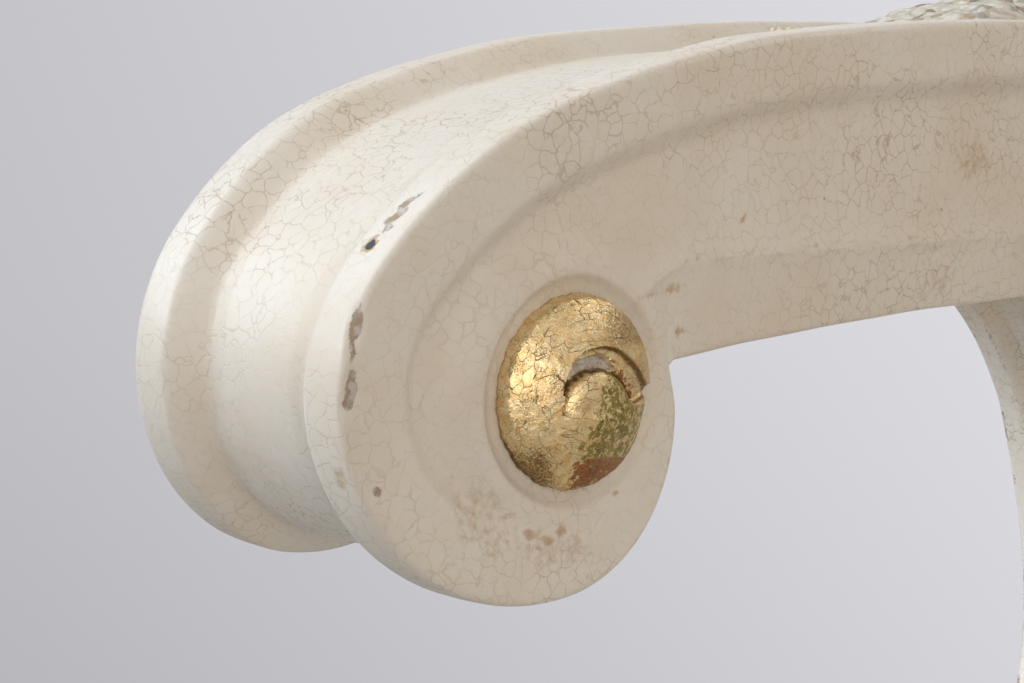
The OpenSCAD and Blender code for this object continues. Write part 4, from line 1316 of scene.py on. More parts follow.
def finish_bar(mesh, carving, seed, node):
    """Finishes a painted bar, with waves, rubbed edges and a few stains."""
    points, normals = vertex_array(mesh) / MM, normal_array(mesh)
    wave = (wobble(points, 45, seed) - 1) * carving.waviness / MM
    set_vertices(mesh, (points + normals * wave[:, None]) * MM)
    edge_wear(mesh)
    patches = np.clip(wobble(points, 60, seed + 3) * 1.4 - 1.9, 0, 0.8)
    set_values(mesh, "stain_and_hole_shade", patches)
    knocks = np.clip(wobble(points, 18, seed + 5) * 1.2 - 1.7, 0, 1)
    edge = np.zeros(len(points), np.float32)
    mesh.attributes["edge"].data.foreach_get("value", edge)
    set_values(mesh, "wear", knocks * np.clip(edge * 3, 0, 1))
    finish_mesh(mesh, worn_paint(), [node])


LEG_TOP, BLOCK_TOP = 296, 372
BLOCK_WIDE = 56
LEG_FLUTES = 12


def leg_radius(z):
    """Radius of the turned leg at a height."""
    spots = [5, 8, 15, 30, 34, 36, 42, 48, 50, 53, LEG_TOP - 34, LEG_TOP - 32, LEG_TOP - 30, LEG_TOP - 25,
             LEG_TOP - 20, LEG_TOP - 19, LEG_TOP - 16, LEG_TOP - 12, LEG_TOP - 7, LEG_TOP - 4, LEG_TOP]
    radii = [9.5, 10.8, 12.5, 10.0, 10.2, 14.5, 17.5, 14.5, 13.5, 13.6, 24.0, 21.2, 26.5, 28.0,
             26.5, 21.5, 18.6, 18.0, 20.0, 26.0, 26.0]
    return np.interp(z, spots, radii)


def leg_mesh(name, side):
    """A turned and fluted leg below a square block with a sunken panel on each outer face."""
    z = np.unique(np.concatenate([np.linspace(5, 56, 52), np.linspace(56, LEG_TOP - 36, 60),
                                  np.linspace(LEG_TOP - 36, LEG_TOP, 60)]))
    around = LEG_FLUTES * 14
    turn = np.arange(around) * 2 * math.pi / around
    radius = leg_radius(z)
    radius = np.convolve(np.pad(radius, 1, mode="edge"), [0.2, 0.6, 0.2], "valid")
    reach = smooth((z - 60) / 5) * smooth((LEG_TOP - 40 - z) / 5)
    wave = np.clip((0.5 + 0.5 * np.cos(turn * LEG_FLUTES)) * 1.35 - 0.35, 0, 1) ** 0.8
    deep = 0.125 * radius * reach
    r = radius[:, None] - deep[:, None] * wave[None]
    points = np.stack([r * np.cos(turn), r * np.sin(turn), np.broadcast_to(z[:, None], r.shape)], -1)
    hollow = np.broadcast_to(wave[None] * reach[:, None] * 0.8, r.shape)
    turned = solid_mesh(name, points.reshape(-1, 3), bar_faces(len(z), around),
                        {"hollow": hollow.ravel()})
    block = block_mesh(name + "_block", side)
    bm = bmesh.new()
    bm.from_mesh(turned)
    bm.from_mesh(block)
    bm.to_mesh(turned)
    bm.free()
    bpy.data.meshes.remove(block)
    shade_smooth(turned, 35)
    turned.transform(Matrix.Translation((SIDES[side] * ARM_MID, FRONT_Y + BLOCK_WIDE / 2 * MM, 0)))
    return turned


def block_mesh(name, side):
    """The square block at a leg's top, with a sunken panel on each outer face."""
    bm = bmesh.new()
    size = Matrix.Diagonal((BLOCK_WIDE * MM, BLOCK_WIDE * MM, (BLOCK_TOP - LEG_TOP) * MM, 1))
    middle = Matrix.Translation((0, 0, (LEG_TOP + BLOCK_TOP) / 2 * MM))
    bmesh.ops.create_cube(bm, size=1, matrix=middle @ size)
    outer = [f for f in bm.faces if f.normal.y < -0.9 or f.normal.x * SIDES[side] > 0.9]
    for face in outer:
        bmesh.ops.inset_region(bm, faces=[face], thickness=0.0085, depth=0)
        bmesh.ops.inset_region(bm, faces=[face], thickness=0.0022, depth=-0.0026)
    bm.normal_update()
    mesh = bpy.data.meshes.new(name)
    bm.to_mesh(mesh)
    bm.free()
    obj = add_object(name, mesh)
    soft = obj.modifiers.new("soft_edges", "BEVEL")
    soft.width = 0.0016
    soft.segments = 3
    soft.limit_method = "ANGLE"
    soft.angle_limit = math.radians(30)
    plain_mesh(obj)
    mesh = obj.data
    bpy.data.objects.remove(obj)
    return mesh


def build_legs(carving):
    for number, side in enumerate(SIDES):
        finish_bar(leg_mesh(f"{side}_front_leg_turned", side), carving, 40 + number, f"{side}_front_leg")


POST_LOW, POST_TOP = 290, 985
POST_DEPTH = 46
FOOT_SWEEP, FOOT_TAPER = 68, 14


def post_lines(z):
    """Front and back of a post at a height, as distances behind the front of the legs."""
    t = np.clip((z - 5) / (POST_LOW - 5), 0, 1)
    sweep = FOOT_SWEEP * (1 - t) ** 1.8
    lean = np.maximum(0, z - LEAN_FROM) * math.tan(BACK_LEAN)
    front = POST_SETBACK + sweep + lean
    return front, front + POST_DEPTH - FOOT_TAPER * (1 - t)


def build_posts(carving):
    """Back legs and back uprights in one, swept back at the foot and leaning above the seat."""
    for number, side in enumerate(SIDES):
        z = np.concatenate([np.linspace(5, 300, 70), np.linspace(304, 970, 130),
                            [975, 979, 982, 984, POST_TOP]])
        front, back = post_lines(z)
        round_top = np.clip((z - 977) / 8, 0, 1) ** 2 * 2.5
        sections = []
        for zi, f, b, shrink in zip(z, front, back, round_top):
            sunk = 2.2 * float(smooth((zi - 400) / 12) * smooth((965 - zi) / 10))
            half = HALF_POST - shrink
            f, b = f + shrink, b - shrink
            outline = [(-half, f), (-half + 9, f), (-half + 12, f + sunk), (half - 12, f + sunk),
                       (half - 9, f), (half, f), (half, b), (-half, b)]
            ring = rounded_profile(outline, 2.6, 3)
            sections.append(np.stack([ring[:, 0] + SIDES[side] * ARM_MID / MM,
                                      ring[:, 1] + FRONT_Y / MM, np.full(len(ring), zi)], -1))
        mesh = swept_bar(f"{side}_back_post_shaped", sections)
        finish_bar(mesh, carving, 50 + number, f"{side}_back_post")


def leaning_place():
    """Puts a mesh drawn with z up the back and y behind the posts' front where the back stands."""
    foot = Matrix.Translation((0, FRONT_Y + POST_SETBACK * MM, LEAN_FROM * MM))
    return foot @ Matrix.Rotation(-BACK_LEAN, 4, "X")


LEAN_LONG = (POST_TOP - LEAN_FROM) / math.cos(BACK_LEAN)
OPENING_HALF = 255
OPENING_LOW = 128
CREST_HEIGHT, CREST_ARCH = 58, 22
CREST_LOW = LEAN_LONG - CREST_HEIGHT - 4
RAIL_THICK = 32
INSIDE_BACK, OUTSIDE_BACK = 24.5, 27.7


def build_back_rails(carving):
    """The arched crest rail and the lower rail, with a sunken flat in front."""
    arch_r = (OPENING_HALF ** 2 + CREST_ARCH ** 2) / (2 * CREST_ARCH)
    for node, foot, rise in (("crest_rail", CREST_LOW, None), ("lower_back_rail", 82, 46)):
        x = np.linspace(-OPENING_HALF, OPENING_HALF, 120)
        if rise is None:
            top = foot + CREST_HEIGHT + CREST_ARCH - arch_r + np.sqrt(arch_r ** 2 - x ** 2)
        else:
            top = np.full_like(x, foot + rise)
        sections = []
        for xi, high in zip(x, top):
            sunk = 2.4 * float(smooth((OPENING_HALF - 12 - abs(xi)) / 8))
            outline = [(0, foot), (0, foot + 9), (sunk, foot + 12.5), (sunk, high - 14), (0, high - 10.5),
                       (0, high), (RAIL_THICK, high), (RAIL_THICK, foot)]
            ring = rounded_profile(outline, 2.4, 3)
            sections.append(np.stack([np.full(len(ring), xi), ring[:, 0], ring[:, 1]], -1))
        mesh = swept_bar(f"{node}_moulded", sections)
        mesh.transform(leaning_place())
        finish_bar(mesh, carving, len(node) + 60, node)


def dress_nodes(names, material):
    """Gives CAD nodes that stay in view their material."""
    for name in names:
        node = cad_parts[name]
        if not node.material_slots:
            node.data.materials.append(material)
        for place in node.material_slots:
            place.material = material


# ---- Geometry Nodes ----

def shape_tree(name, inputs):
    """A new Geometry Nodes tree with named inputs; returns it, its graph, its path and its sockets."""
    tree = bpy.data.node_groups.new(name, "GeometryNodeTree")
    tree.interface.new_socket(name="Path", in_out="INPUT", socket_type="NodeSocketGeometry")
    for label, given in inputs.items():
        kind = given if isinstance(given, str) else "Float"
        socket = tree.interface.new_socket(name=label, in_out="INPUT", socket_type=f"NodeSocket{kind}")
        if kind == "Float":
            socket.default_value = given
    tree.interface.new_socket(name="Shape", in_out="OUTPUT", socket_type="NodeSocketGeometry")
    graph = NodeGraph(tree)
    given, out = graph.add("NodeGroupInput").outputs, graph.add("NodeGroupOutput").inputs
    curve = graph.add("GeometryNodeMeshToCurve", {"Mesh": given["Path"]}).outputs[0]
    return tree, graph, curve, given, out


def tube(g, curve, ring):
    """A ring or strip swept along a curve, with capped ends."""
    values = {"Curve": curve, "Profile Curve": ring, "Fill Caps": True}
    return g.add("GeometryNodeCurveToMesh", values).outputs[0]


def close_tree(g, geometry, given, out):
    """Ends a tree: smooth shading, real instances and the material."""
    shaded = g.add("GeometryNodeSetShadeSmooth", {"Geometry": geometry}).outputs[0]
    real = g.add("GeometryNodeRealizeInstances", {"Geometry": shaded}).outputs[0]
    painted = g.add("GeometryNodeSetMaterial", {"Geometry": real, "Material": given["Material"]})
    g.feed(out["Shape"], painted.outputs[0])


@once
def plait_tree():
    """Three strands plaited along a path."""
    tree, g, curve, given, out = shape_tree("plait", {
        "Pitch": 0.008, "Sway": 0.0015, "Lift": 0.0005, "Strand": 0.0008, "Facing": "Vector",
        "Material": "Material"})
    step = g.math("DIVIDE", given["Pitch"], 9.0)
    curve = g.add("GeometryNodeResampleCurve", {"Curve": curve, "Length": step}, mode="LENGTH").outputs[0]
    run = g.add("GeometryNodeSplineParameter").outputs["Length"]
    run = g.times(g.math("DIVIDE", run, given["Pitch"]), 2 * math.pi)
    heading = g.add("GeometryNodeInputTangent").outputs[0]
    aside = g.vector("NORMALIZE", g.vector("CROSS_PRODUCT", heading, given["Facing"]))
    ring = g.add("GeometryNodeCurvePrimitiveCircle", {"Resolution": 6, "Radius": given["Strand"]},
                 mode="RADIUS").outputs[0]
    join = g.add("GeometryNodeJoinGeometry")
    for strand in range(3):
        angle = g.math("ADD", run, strand * 2 * math.pi / 3)
        across = g.vector("SCALE", aside, scale=g.times(g.math("SINE", angle), given["Sway"]))
        doubled = g.math("SINE", g.times(angle, 2.0))
        above = g.vector("SCALE", given["Facing"], scale=g.times(doubled, given["Lift"]))
        moved = g.add("GeometryNodeSetPosition", {
            "Geometry": curve, "Offset": g.vector("ADD", across, above)}).outputs[0]
        g.feed(join.inputs[0], tube(g, moved, ring))
    close_tree(g, join.outputs[0], given, out)
    return tree


@once
def piping_tree():
    """A covered cord along a path."""
    tree, g, curve, given, out = shape_tree("piping", {
        "Radius": 0.003, "Step": 0.005, "Material": "Material"})
    curve = g.add("GeometryNodeResampleCurve", {"Curve": curve, "Length": given["Step"]},
                  mode="LENGTH").outputs[0]
    ring = g.add("GeometryNodeCurvePrimitiveCircle", {"Resolution": 12, "Radius": given["Radius"]},
                 mode="RADIUS").outputs[0]
    close_tree(g, tube(g, curve, ring), given, out)
    return tree


@once
def strap_tree():
    """Flat straps along level paths, passing over and under each other."""
    tree, g, curve, given, out = shape_tree("straps", {
        "Width": 0.05, "Thickness": 0.0012, "Wave": 0.0008, "Material": "Material"})
    curve = g.add("GeometryNodeSetCurveNormal", {"Curve": curve}, mode="Z_UP").outputs[0]
    lift = g.add("GeometryNodeInputNamedAttribute", {"Name": "lift"}, data_type="FLOAT").outputs[0]
    up = g.add("ShaderNodeCombineXYZ", {2: g.times(lift, given["Wave"])}).outputs[0]
    curve = g.add("GeometryNodeSetPosition", {"Geometry": curve, "Offset": up}).outputs[0]
    strip = g.add("GeometryNodeCurvePrimitiveQuadrilateral", {
        "Width": given["Width"], "Height": given["Thickness"]}, mode="RECTANGLE").outputs[0]
    strip = g.add("GeometryNodeSubdivideCurve", {"Curve": strip, "Cuts": 2}).outputs[0]
    close_tree(g, tube(g, curve, strip), given, out)
    return tree


def path_object(name, paths, closed, lifts=None):
    """An object whose mesh holds only the edges of some paths, given in metres."""
    points = [tuple(p) for path in paths for p in path]
    edges, start = [], 0
    for path in paths:
        end = start + len(path)
        edges += [(i, i + 1) for i in range(start, end - 1)]
        if closed:
            edges.append((end - 1, start))
        start = end
    mesh = bpy.data.meshes.new(name)
    mesh.from_pydata(points, edges, [])
    if lifts is not None:
        set_values(mesh, "lift", np.concatenate(lifts))
    return add_object(name, mesh)


def run_tree(obj, tree, inputs):
    """Puts a tree on an object with its inputs set and keeps the plain mesh that it makes."""
    modifier = obj.modifiers.new(tree.name, "NODES")
    modifier.node_group = tree
    sockets = {item.name: item.identifier for item in tree.interface.items_tree if item.in_out == "INPUT"}
    for key, value in inputs.items():
        modifier[sockets[key]] = value
    plain_mesh(obj)
    bm = bmesh.new()
    bm.from_mesh(obj.data)
    bmesh.ops.remove_doubles(bm, verts=bm.verts, dist=1e-6)
    bmesh.ops.recalc_face_normals(bm, faces=bm.faces)
    bm.to_mesh(obj.data)
    bm.free()
    lift = obj.data.attributes.get("lift")
    if lift:
        obj.data.attributes.remove(lift)


# ---- Upholstery ----

COVER = {"quality": 4, "mass": 0.25, "tension_stiffness": 12, "compression_stiffness": 12,
         "shear_stiffness": 4, "bending_stiffness": 0.6, "use_pressure": True, "vertex_group_mass": "resting"}
COVER_VOXEL = 0.0065
SWELL_FRAMES = 20
SEAT_CAP, BACK_CAP = 0.012, 0.010
LOOSE = ((1, 1, 0.2), (1, 1, 1))
SNUG = ((0.2, 0.2, 0.2), (0.2, 0.2, 0.2))
PROUD = 0.004
SEAM_HEIGHTS = (0.006, 0.038)
STRAP_WIDE, STRAP_THICK, STRAP_WAVE = 0.05, 0.0009, 0.0005


def rounded_loop(half_x, half_y, corner, steps=10):
    """A closed rectangular loop with round corners, about the origin, as (x, y) points."""
    loop = []
    for cx, cy, start in ((1, 1, 0), (-1, 1, 90), (-1, -1, 180), (1, -1, 270)):
        for a in np.radians(np.linspace(start, start + 90, steps)):
            loop.append((cx * (half_x - corner) + corner * math.cos(a),
                         cy * (half_y - corner) + corner * math.sin(a)))
    return np.array(loop)


def stuffed(node, name, cap, hold, room, look):
    """A cushion blown up in its own cover: a CAD solid's shape, remeshed and filled by pressure. No point
    moves further than cap. hold says which points stay where they are, because they rest on something.
    room says what share of the swell is kept free at the low and the high end of each axis."""
    obj = cad_copy(node, name)
    points = vertex_array(obj.data)
    low, high = points.min(0), points.max(0)
    below, above = np.array(room) * look.swell * 1
    set_vertices(obj.data, low + below + (points - low) * (1 - (below + above) / (high - low)))
    remesh = obj.modifiers.new("cover", "REMESH")
    remesh.mode = "VOXEL"
    remesh.voxel_size = COVER_VOXEL
    plain_mesh(obj)
    start = vertex_array(obj.data)
    held = hold(start)
    pins = obj.vertex_groups.new(name="resting")
    pins.add(np.nonzero(held)[0].tolist(), 1.0, "REPLACE")
    cloth = obj.modifiers.new("stuffing", "CLOTH")
    for key, value in COVER.items():
        setattr(cloth.settings, key, value)
    cloth.settings.uniform_pressure_force = look.pressure
    cloth.settings.effector_weights.gravity = 0
    cloth.collision_settings.use_collision = False
    cloth.point_cache.frame_start = 1
    cloth.point_cache.frame_end = SWELL_FRAMES
    for number in range(1, SWELL_FRAMES + 1):
        bpy.context.scene.frame_set(number)
    plain_mesh(obj)
    bpy.context.scene.frame_set(1)
    moved = vertex_array(obj.data) - start
    far = np.linalg.norm(moved, axis=1)
    moved *= np.minimum(1, cap / np.maximum(far, 1e-9))[:, None]
    set_vertices(obj.data, start + moved)
    obj.vertex_groups.clear()
    finer = obj.modifiers.new("finer", "SUBSURF")
    finer.levels = 1
    finer.render_levels = 1
    plain_mesh(obj)
    shade_smooth(obj.data, 180)
    return obj


def keep_inside(mesh, node, spare):
    """Holds a soft piece within its CAD solid's box, which it may pass by spare."""
    low, high = (np.array(corner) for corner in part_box(node))
    set_vertices(mesh, np.clip(vertex_array(mesh), low - spare, high + spare))


def press_seam(mesh, distance, depth, width):
    """Pulls a seam in: distance is how far each vertex is from the seam, in metres."""
    pull = depth * np.exp(-(distance / width) ** 2)
    set_vertices(mesh, vertex_array(mesh) - normal_array(mesh) * pull[:, None])


def seam_ring(tree, middle, half, z):
    """Where level rays from all round meet a cushion's cover at a height."""
    ring = []
    for x, y in rounded_loop(half[0] - 0.002, half[1] - 0.002, 0.035, 16):
        start = Vector((middle[0] + x * 1.2, middle[1] + y * 1.2, z))
        toward = Vector((middle[0] + x * 0.3, middle[1] + y * 0.3, z)) - start
        hit = tree.ray_cast(start, toward.normalized())[0]
        ring.append(hit if hit is not None else Vector((middle[0] + x, middle[1] + y, z)))
    return np.array(ring)


def build_seat_cushion(look):
    """The loose seat: a boxed cushion with piping along its upper and lower seams."""
    node = "seat_cushion"
    low, high = (np.array(corner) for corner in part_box(node))
    tweed = tweed_material()
    seat = stuffed(node, "seat_cushion_stuffed", SEAT_CAP, lambda p: p[:, 2] < low[2] + SEAT_CAP, LOOSE, look)
    seams = [low[2] + height for height in SEAM_HEIGHTS]
    middle = (low + high) / 2
    half = (high - low) / 2
    tree = BVHTree.FromPolygons([v.co for v in seat.data.vertices],
                                [p.vertices[:] for p in seat.data.polygons])
    paths = [even_ring(seam_ring(tree, middle, half, z), 150) for z in seams]
    points = vertex_array(seat.data)
    for z in seams:
        gap = np.abs(points[:, 2] - z)
        side = (half - np.abs(points - middle))[:, :2].min(1)
        press_seam(seat.data, np.hypot(gap, np.maximum(0, side - 0.02)), 0.0022, 0.005)
    piping = path_object("seat_piping", paths, True)
    run_tree(piping, piping_tree(), {"Radius": 0.0032, "Step": 0.006, "Material": tweed})
    keep_inside(seat.data, node, PROUD)
    finish_piece(seat, tweed, [node])
    finish_piece(piping, tweed)
    wrap_slip_frame(tweed)


def wrap_slip_frame(tweed):
    """The slip seat frame's cover: up its outer sides and a little way in over its top."""
    boxes = [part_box(f"{place}_slip_bar") for place in ("right", "left", "front", "back")]
    low = np.min([box[0] for box in boxes], axis=0) / MM
    high = np.max([box[1] for box in boxes], axis=0) / MM
    middle, half = (low + high) / 2, (high - low) / 2
    outline = [(0.05, low[2] + 1), (0.65, low[2] + 1), (0.65, high[2] + 0.7), (0.3, high[2] + 1.2),
               (-6, high[2] + 1.4), (-6, high[2] + 0.9), (0.05, high[2] + 0.6)]
    rings = []
    for out, z in outline:
        loop = rounded_loop(half[0] + out, half[1] + out, 2.5 + max(out, 0), 8)
        rings.append(np.column_stack([loop + middle[:2], np.full(len(loop), z)]))
    faces = grid_quads(len(rings), len(rings[0]), closed_rows=True, closed_cols=True)
    mesh = solid_mesh("slip_seat_cover", np.concatenate(rings), faces)
    finish_mesh(mesh, tweed)


def even_ring(ring, count):
    """A closed ring resampled at even gaps and smoothed a little."""
    closed = np.concatenate([ring, ring[:1]])
    run = np.r_[0, np.cumsum(np.linalg.norm(np.diff(closed, axis=0), axis=1))]
    at = np.linspace(0, run[-1], count, endpoint=False)
    even = np.stack([np.interp(at, run, closed[:, k]) for k in range(3)], -1)
    for _ in range(2):
        even = (np.roll(even, 1, 0) + 2 * even + np.roll(even, -1, 0)) / 4
    return even


def build_back_cushion(look):
    """The tight back pad, crowned in front and flat against its webbing."""
    node = "back_cushion"
    inverse = leaning_place().inverted()

    def fastened(points):
        """Which points are held by the webbing behind or by the frame round the edge."""
        local = points @ np.array(inverse.to_3x3()).T + np.array(inverse.translation)
        from_edge = np.minimum(local - local.min(0), local.max(0) - local)
        return (local[:, 1] > 0.006) | (from_edge[:, 0] < 0.004) | (from_edge[:, 2] < 0.004)

    tweed = tweed_material()
    pad = stuffed(node, "back_cushion_stuffed", BACK_CAP, fastened, SNUG, look)
    keep_inside(pad.data, node, PROUD)
    finish_piece(pad, tweed, [node])


def build_outside_back():
    """The thin panel that closes the back from behind, a little crowned."""
    half, foot, top = OPENING_HALF - 1, OPENING_LOW + 1, CREST_LOW - 1
    x, z = np.meshgrid(np.linspace(-half, half, 70), np.linspace(foot, top, 60), indexing="ij")
    bulge = 1.6 * (1 - (x / half) ** 4) * (1 - ((2 * z - foot - top) / (top - foot)) ** 4)
    outer = np.stack([x, OUTSIDE_BACK + bulge, z], -1)
    inner = np.stack([x, np.full_like(x, INSIDE_BACK), z], -1)
    rows, cols = x.shape
    faces = grid_quads(rows, cols) + [q[::-1] for q in grid_quads(rows, cols, start=rows * cols)]
    rim = ([i * cols for i in range(rows)] + [(rows - 1) * cols + j for j in range(1, cols)]
           + [i * cols + cols - 1 for i in range(rows - 2, -1, -1)] + [j for j in range(cols - 2, 0, -1)])
    for a, b in zip(rim, rim[1:] + rim[:1]):
        faces.append([a, b, b + rows * cols, a + rows * cols])
    points = np.concatenate([outer.reshape(-1, 3), inner.reshape(-1, 3)])
    board = solid_mesh("outside_back_cover", points, faces)
    board.transform(leaning_place())
    finish_mesh(board, tweed_material(), ["outside_back"])


PAD_START, PAD_LENGTH, PAD_HALF, PAD_RISE = 112, 235, 16.5, 15
PAD_LOW = SCROLL_RISE - 3.3


def build_arm_pads():
    """Small crowned pads of looped cloth between the arms' rims."""
    tweed = tweed_material()
    for number, side in enumerate(SIDES):
        rows, around = 250, 56
        t = np.sin(np.linspace(-1, 1, rows) * math.pi / 2)
        t = 0.55 * t + 0.45 * np.linspace(-1, 1, rows)
        t = t[1:-1]
        end = (1 - np.abs(t) ** 9) ** 0.45
        from_end = (1 - np.abs(t)) * PAD_LENGTH / 2
        rise = (1.2 + (PAD_RISE - 4.2) * (1 - np.abs(t) ** 2.2) * smooth((from_end - 7) / 26)) * end
        phi = np.linspace(0, math.pi, around)
        x = np.sign(np.cos(phi)) * np.abs(np.cos(phi)) ** 0.62
        z = np.sin(phi) ** 0.72
        half = PAD_HALF * (0.9 + 0.1 * end) * np.clip(end * 1.15, 0, 1)
        top = np.stack([half[:, None] * x[None],
                        np.broadcast_to((PAD_START + PAD_LENGTH * (1 + t) / 2)[:, None], (len(t), around)),
                        PAD_LOW - 1.4 + (rise[:, None] + 1.4) * z[None]], -1)
        mesh = solid_mesh(f"{side}_arm_pad_stuffed", top.reshape(-1, 3), bar_faces(len(t), around))
        points, normals = vertex_array(mesh) / MM, normal_array(mesh)
        loops = 0.34 * np.abs(wobble(points, 1.9, 70 + number)) + 0.30 * wobble(points, 3.4, 72 + number)
        loops *= smooth((points[:, 2] - PAD_LOW + 0.5) / 1.5)
        set_vertices(mesh, (points + normals * loops[:, None]) * MM)
        shade_smooth(mesh, 180)
        place_from_boss(mesh, side)
        pad = add_object(f"{side}_arm_pad_stuffed", mesh)
        finish_piece(pad, tweed, [f"{side}_arm_pad"])


def plaited_braid(node, paths, closed, pitch, sway, lift, strand, facing):
    """A piece of braid plaited along some paths."""
    braid = braid_material()
    obj = path_object(f"{node}_plaited", paths, closed)
    run_tree(obj, plait_tree(), {"Pitch": pitch, "Sway": sway, "Lift": lift, "Strand": strand,
                                 "Facing": facing, "Material": braid})
    finish_piece(obj, braid, [node])


def build_pad_braids():
    """Braid round each arm pad."""
    for side, outward in SIDES.items():
        loop = rounded_loop(PAD_HALF + 2.2, PAD_LENGTH / 2 + 2.2, 3.0, 6) * MM
        centre = Vector((outward * ARM_MID, BOSS_Y + (PAD_START + PAD_LENGTH / 2) * MM,
                         BOSS_Z + (PAD_LOW + 0.3) * MM))
        path = [(centre.x + x, centre.y + y, centre.z) for x, y in loop]
        plaited_braid(f"{side}_pad_braid", [path], True, 0.0075, 0.00125, 0.00045, 0.00075, (0, 0, 1))


def build_back_braid():
    """Braid round the back pad, with gaps where the arms meet the posts."""
    place = leaning_place()
    low, high, half = OPENING_LOW - 5, CREST_LOW + 5, OPENING_HALF + 5
    arm_low, arm_high = ((BOSS_Z / MM + rise - LEAN_FROM) / math.cos(BACK_LEAN)
                         for rise in (UNDER_RISE - 3, SCROLL_RISE + 3))
    lower = [(-half, arm_low), (-half, low), (half, low), (half, arm_low)]
    upper = [(-half, arm_high), (-half, high), (half, high), (half, arm_high)]
    paths = []
    for corners in (lower, upper):
        fine = []
        for (x0, z0), (x1, z1) in zip(corners, corners[1:]):
            count = max(2, int(math.hypot(x1 - x0, z1 - z0) / 8))
            fine += [(x0 + (x1 - x0) * i / count, z0 + (z1 - z0) * i / count) for i in range(count)]
        fine.append(corners[-1])
        paths.append([place @ (Vector((x, -1.0, z)) * MM) for x, z in fine])
    facing = tuple(place.to_3x3() @ Vector((0, -1, 0)))
    plaited_braid("back_braid", paths, False, 0.015, 0.0031, 0.0008, 0.00165, facing)


def woven_straps(node, half_x, half_y, across_x, across_y, place, jute):
    """Straps that cross over and under each other in a level plane, then moved to their place."""
    paths, lifts = [], []
    for i, x in enumerate(across_x):
        y = np.linspace(-half_y, half_y, 120)
        paths.append([(x, v, 0.0) for v in y])
        lifts.append(np.cos(math.pi * (y - across_y[0]) / (across_y[1] - across_y[0]) + math.pi * i))
    for j, y in enumerate(across_y):
        x = np.linspace(-half_x, half_x, 120)
        paths.append([(v, y, 0.0) for v in x])
        lifts.append(-np.cos(math.pi * (x - across_x[0]) / (across_x[1] - across_x[0]) + math.pi * j))
    straps = path_object(f"{node}_woven", paths, False, lifts)
    run_tree(straps, strap_tree(), {"Width": STRAP_WIDE, "Thickness": STRAP_THICK, "Wave": STRAP_WAVE,
                                    "Material": jute})
    straps.data.transform(place)
    finish_piece(straps, jute, [node])


def build_webbing():
    """Jute straps woven under the seat and behind the back pad."""
    light, dark, thread = (0.40, 0.28, 0.16), (0.28, 0.185, 0.10), 0.0022
    low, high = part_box("seat_webbing")
    half_x, half_y = (high.x - low.x) / 2, (high.y - low.y) / 2
    pitch_x = (2 * (half_x + 0.008) - 0.06) / 4
    pitch_y = (2 * half_y + 0.016) / 4
    woven_straps("seat_webbing", half_x, half_y, [(i - 1.5) * pitch_x for i in range(4)],
                 [(i - 1.5) * pitch_y for i in range(4)],
                 Matrix.Translation((0, (low.y + high.y) / 2, (low.z + high.z) / 2)),
                 woven_material("jute_webbing", light, dark, thread, 0.0))
    foot, top = (OPENING_LOW + 1) * MM, (CREST_LOW - 1) * MM
    half_y, half_x = (top - foot) / 2, (OPENING_HALF - 1) * MM
    stand = Matrix.Translation((0, 0.017, (foot + top) / 2)) @ Matrix.Rotation(math.radians(90), 4, "X")
    woven_straps("back_webbing", half_x, half_y, [(i - 1.5) * half_x / 2 for i in range(4)],
                 [(i - 2) * (half_y - 0.025) / 2 for i in range(5)], leaning_place() @ stand,
                 woven_material("jute_back_webbing", light, dark, thread, 1.0))


# ---- Stage ----

CAMERA_TURN = Euler([math.radians(angle) for angle in (82.969, -0.718, 46.148)]).to_matrix()
CAMERA_FROM_BOSS = Vector((0.28095, -0.25411, 0.05202))
SENSOR = 36
FLOOR_DROP = 0.0002
CHAIR_MIDDLE = (0, 0, 0.55)


def backdrop_material(look):
    """Pale floor that turns into a wall glowing with painted light, graded evenly from the left tone to the
    right tone; the floor near the chair takes its shadow.
    """
    material, g, shader = new_material("pale_backdrop", 0.9, 0.0, 0.1)
    place = g.place()
    graded = (CAMERA_TURN.col[0] + Vector((0, 0, 0.3))).normalized()
    heading = g.vector("NORMALIZE", g.vector("SUBTRACT", place, (0, 0, 0.6)))
    across = g.vector("DOT_PRODUCT", heading, tuple(graded))
    share = g.ramp(across, -0.47, 0.13, ease=False)
    tone = g.mix(share, look.left_glow, look.right_glow)
    # Painted light: the wall glows for camera, glossy and transmission rays, in a gradient across the view.
    glow = g.add("ShaderNodeEmission", {"Color": tone, "Strength": 1.0}).outputs[0]
    away = g.vector("LENGTH", place)
    rays = g.add("ShaderNodeLightPath").outputs
    pale = g.mix(rays["Is Camera Ray"], (0.34, 0.335, 0.33), (0.62, 0.62, 0.635))
    g.feed(shader["Base Color"], pale)
    seen = g.math("MAXIMUM", rays["Is Camera Ray"], rays["Is Glossy Ray"])
    seen = g.math("MAXIMUM", seen, rays["Is Transmission Ray"])
    share = g.times(g.ramp(away, 0.9, 1.9), seen)
    blend = g.add("ShaderNodeMixShader", {0: share})
    g.feed(blend.inputs[1], g.tree.nodes["Principled BSDF"].outputs[0])
    g.feed(blend.inputs[2], glow)
    g.feed(g.tree.nodes["Material Output"].inputs["Surface"], blend.outputs[0])
    return material


def softbox(name, place, target, size, power, tint):
    data = bpy.data.lights.new(name, "AREA")
    data.shape = "RECTANGLE"
    data.size, data.size_y = size
    data.energy = power
    data.color = tint
    lamp = add_object(name, data)
    lamp.location = place
    lamp.rotation_euler = (Vector(target) - Vector(place)).to_track_quat("-Z", "Y").to_euler()


def build_camera(look, boss):
    """A camera close to the right arm's scroll."""
    data = bpy.data.cameras.new("view")
    data.lens = look.lens
    data.sensor_width = SENSOR
    data.clip_start = 0.01
    camera = add_object("view", data)
    camera.matrix_world = Matrix.Translation(boss + CAMERA_FROM_BOSS) @ CAMERA_TURN.to_4x4()
    bpy.context.scene.camera = camera


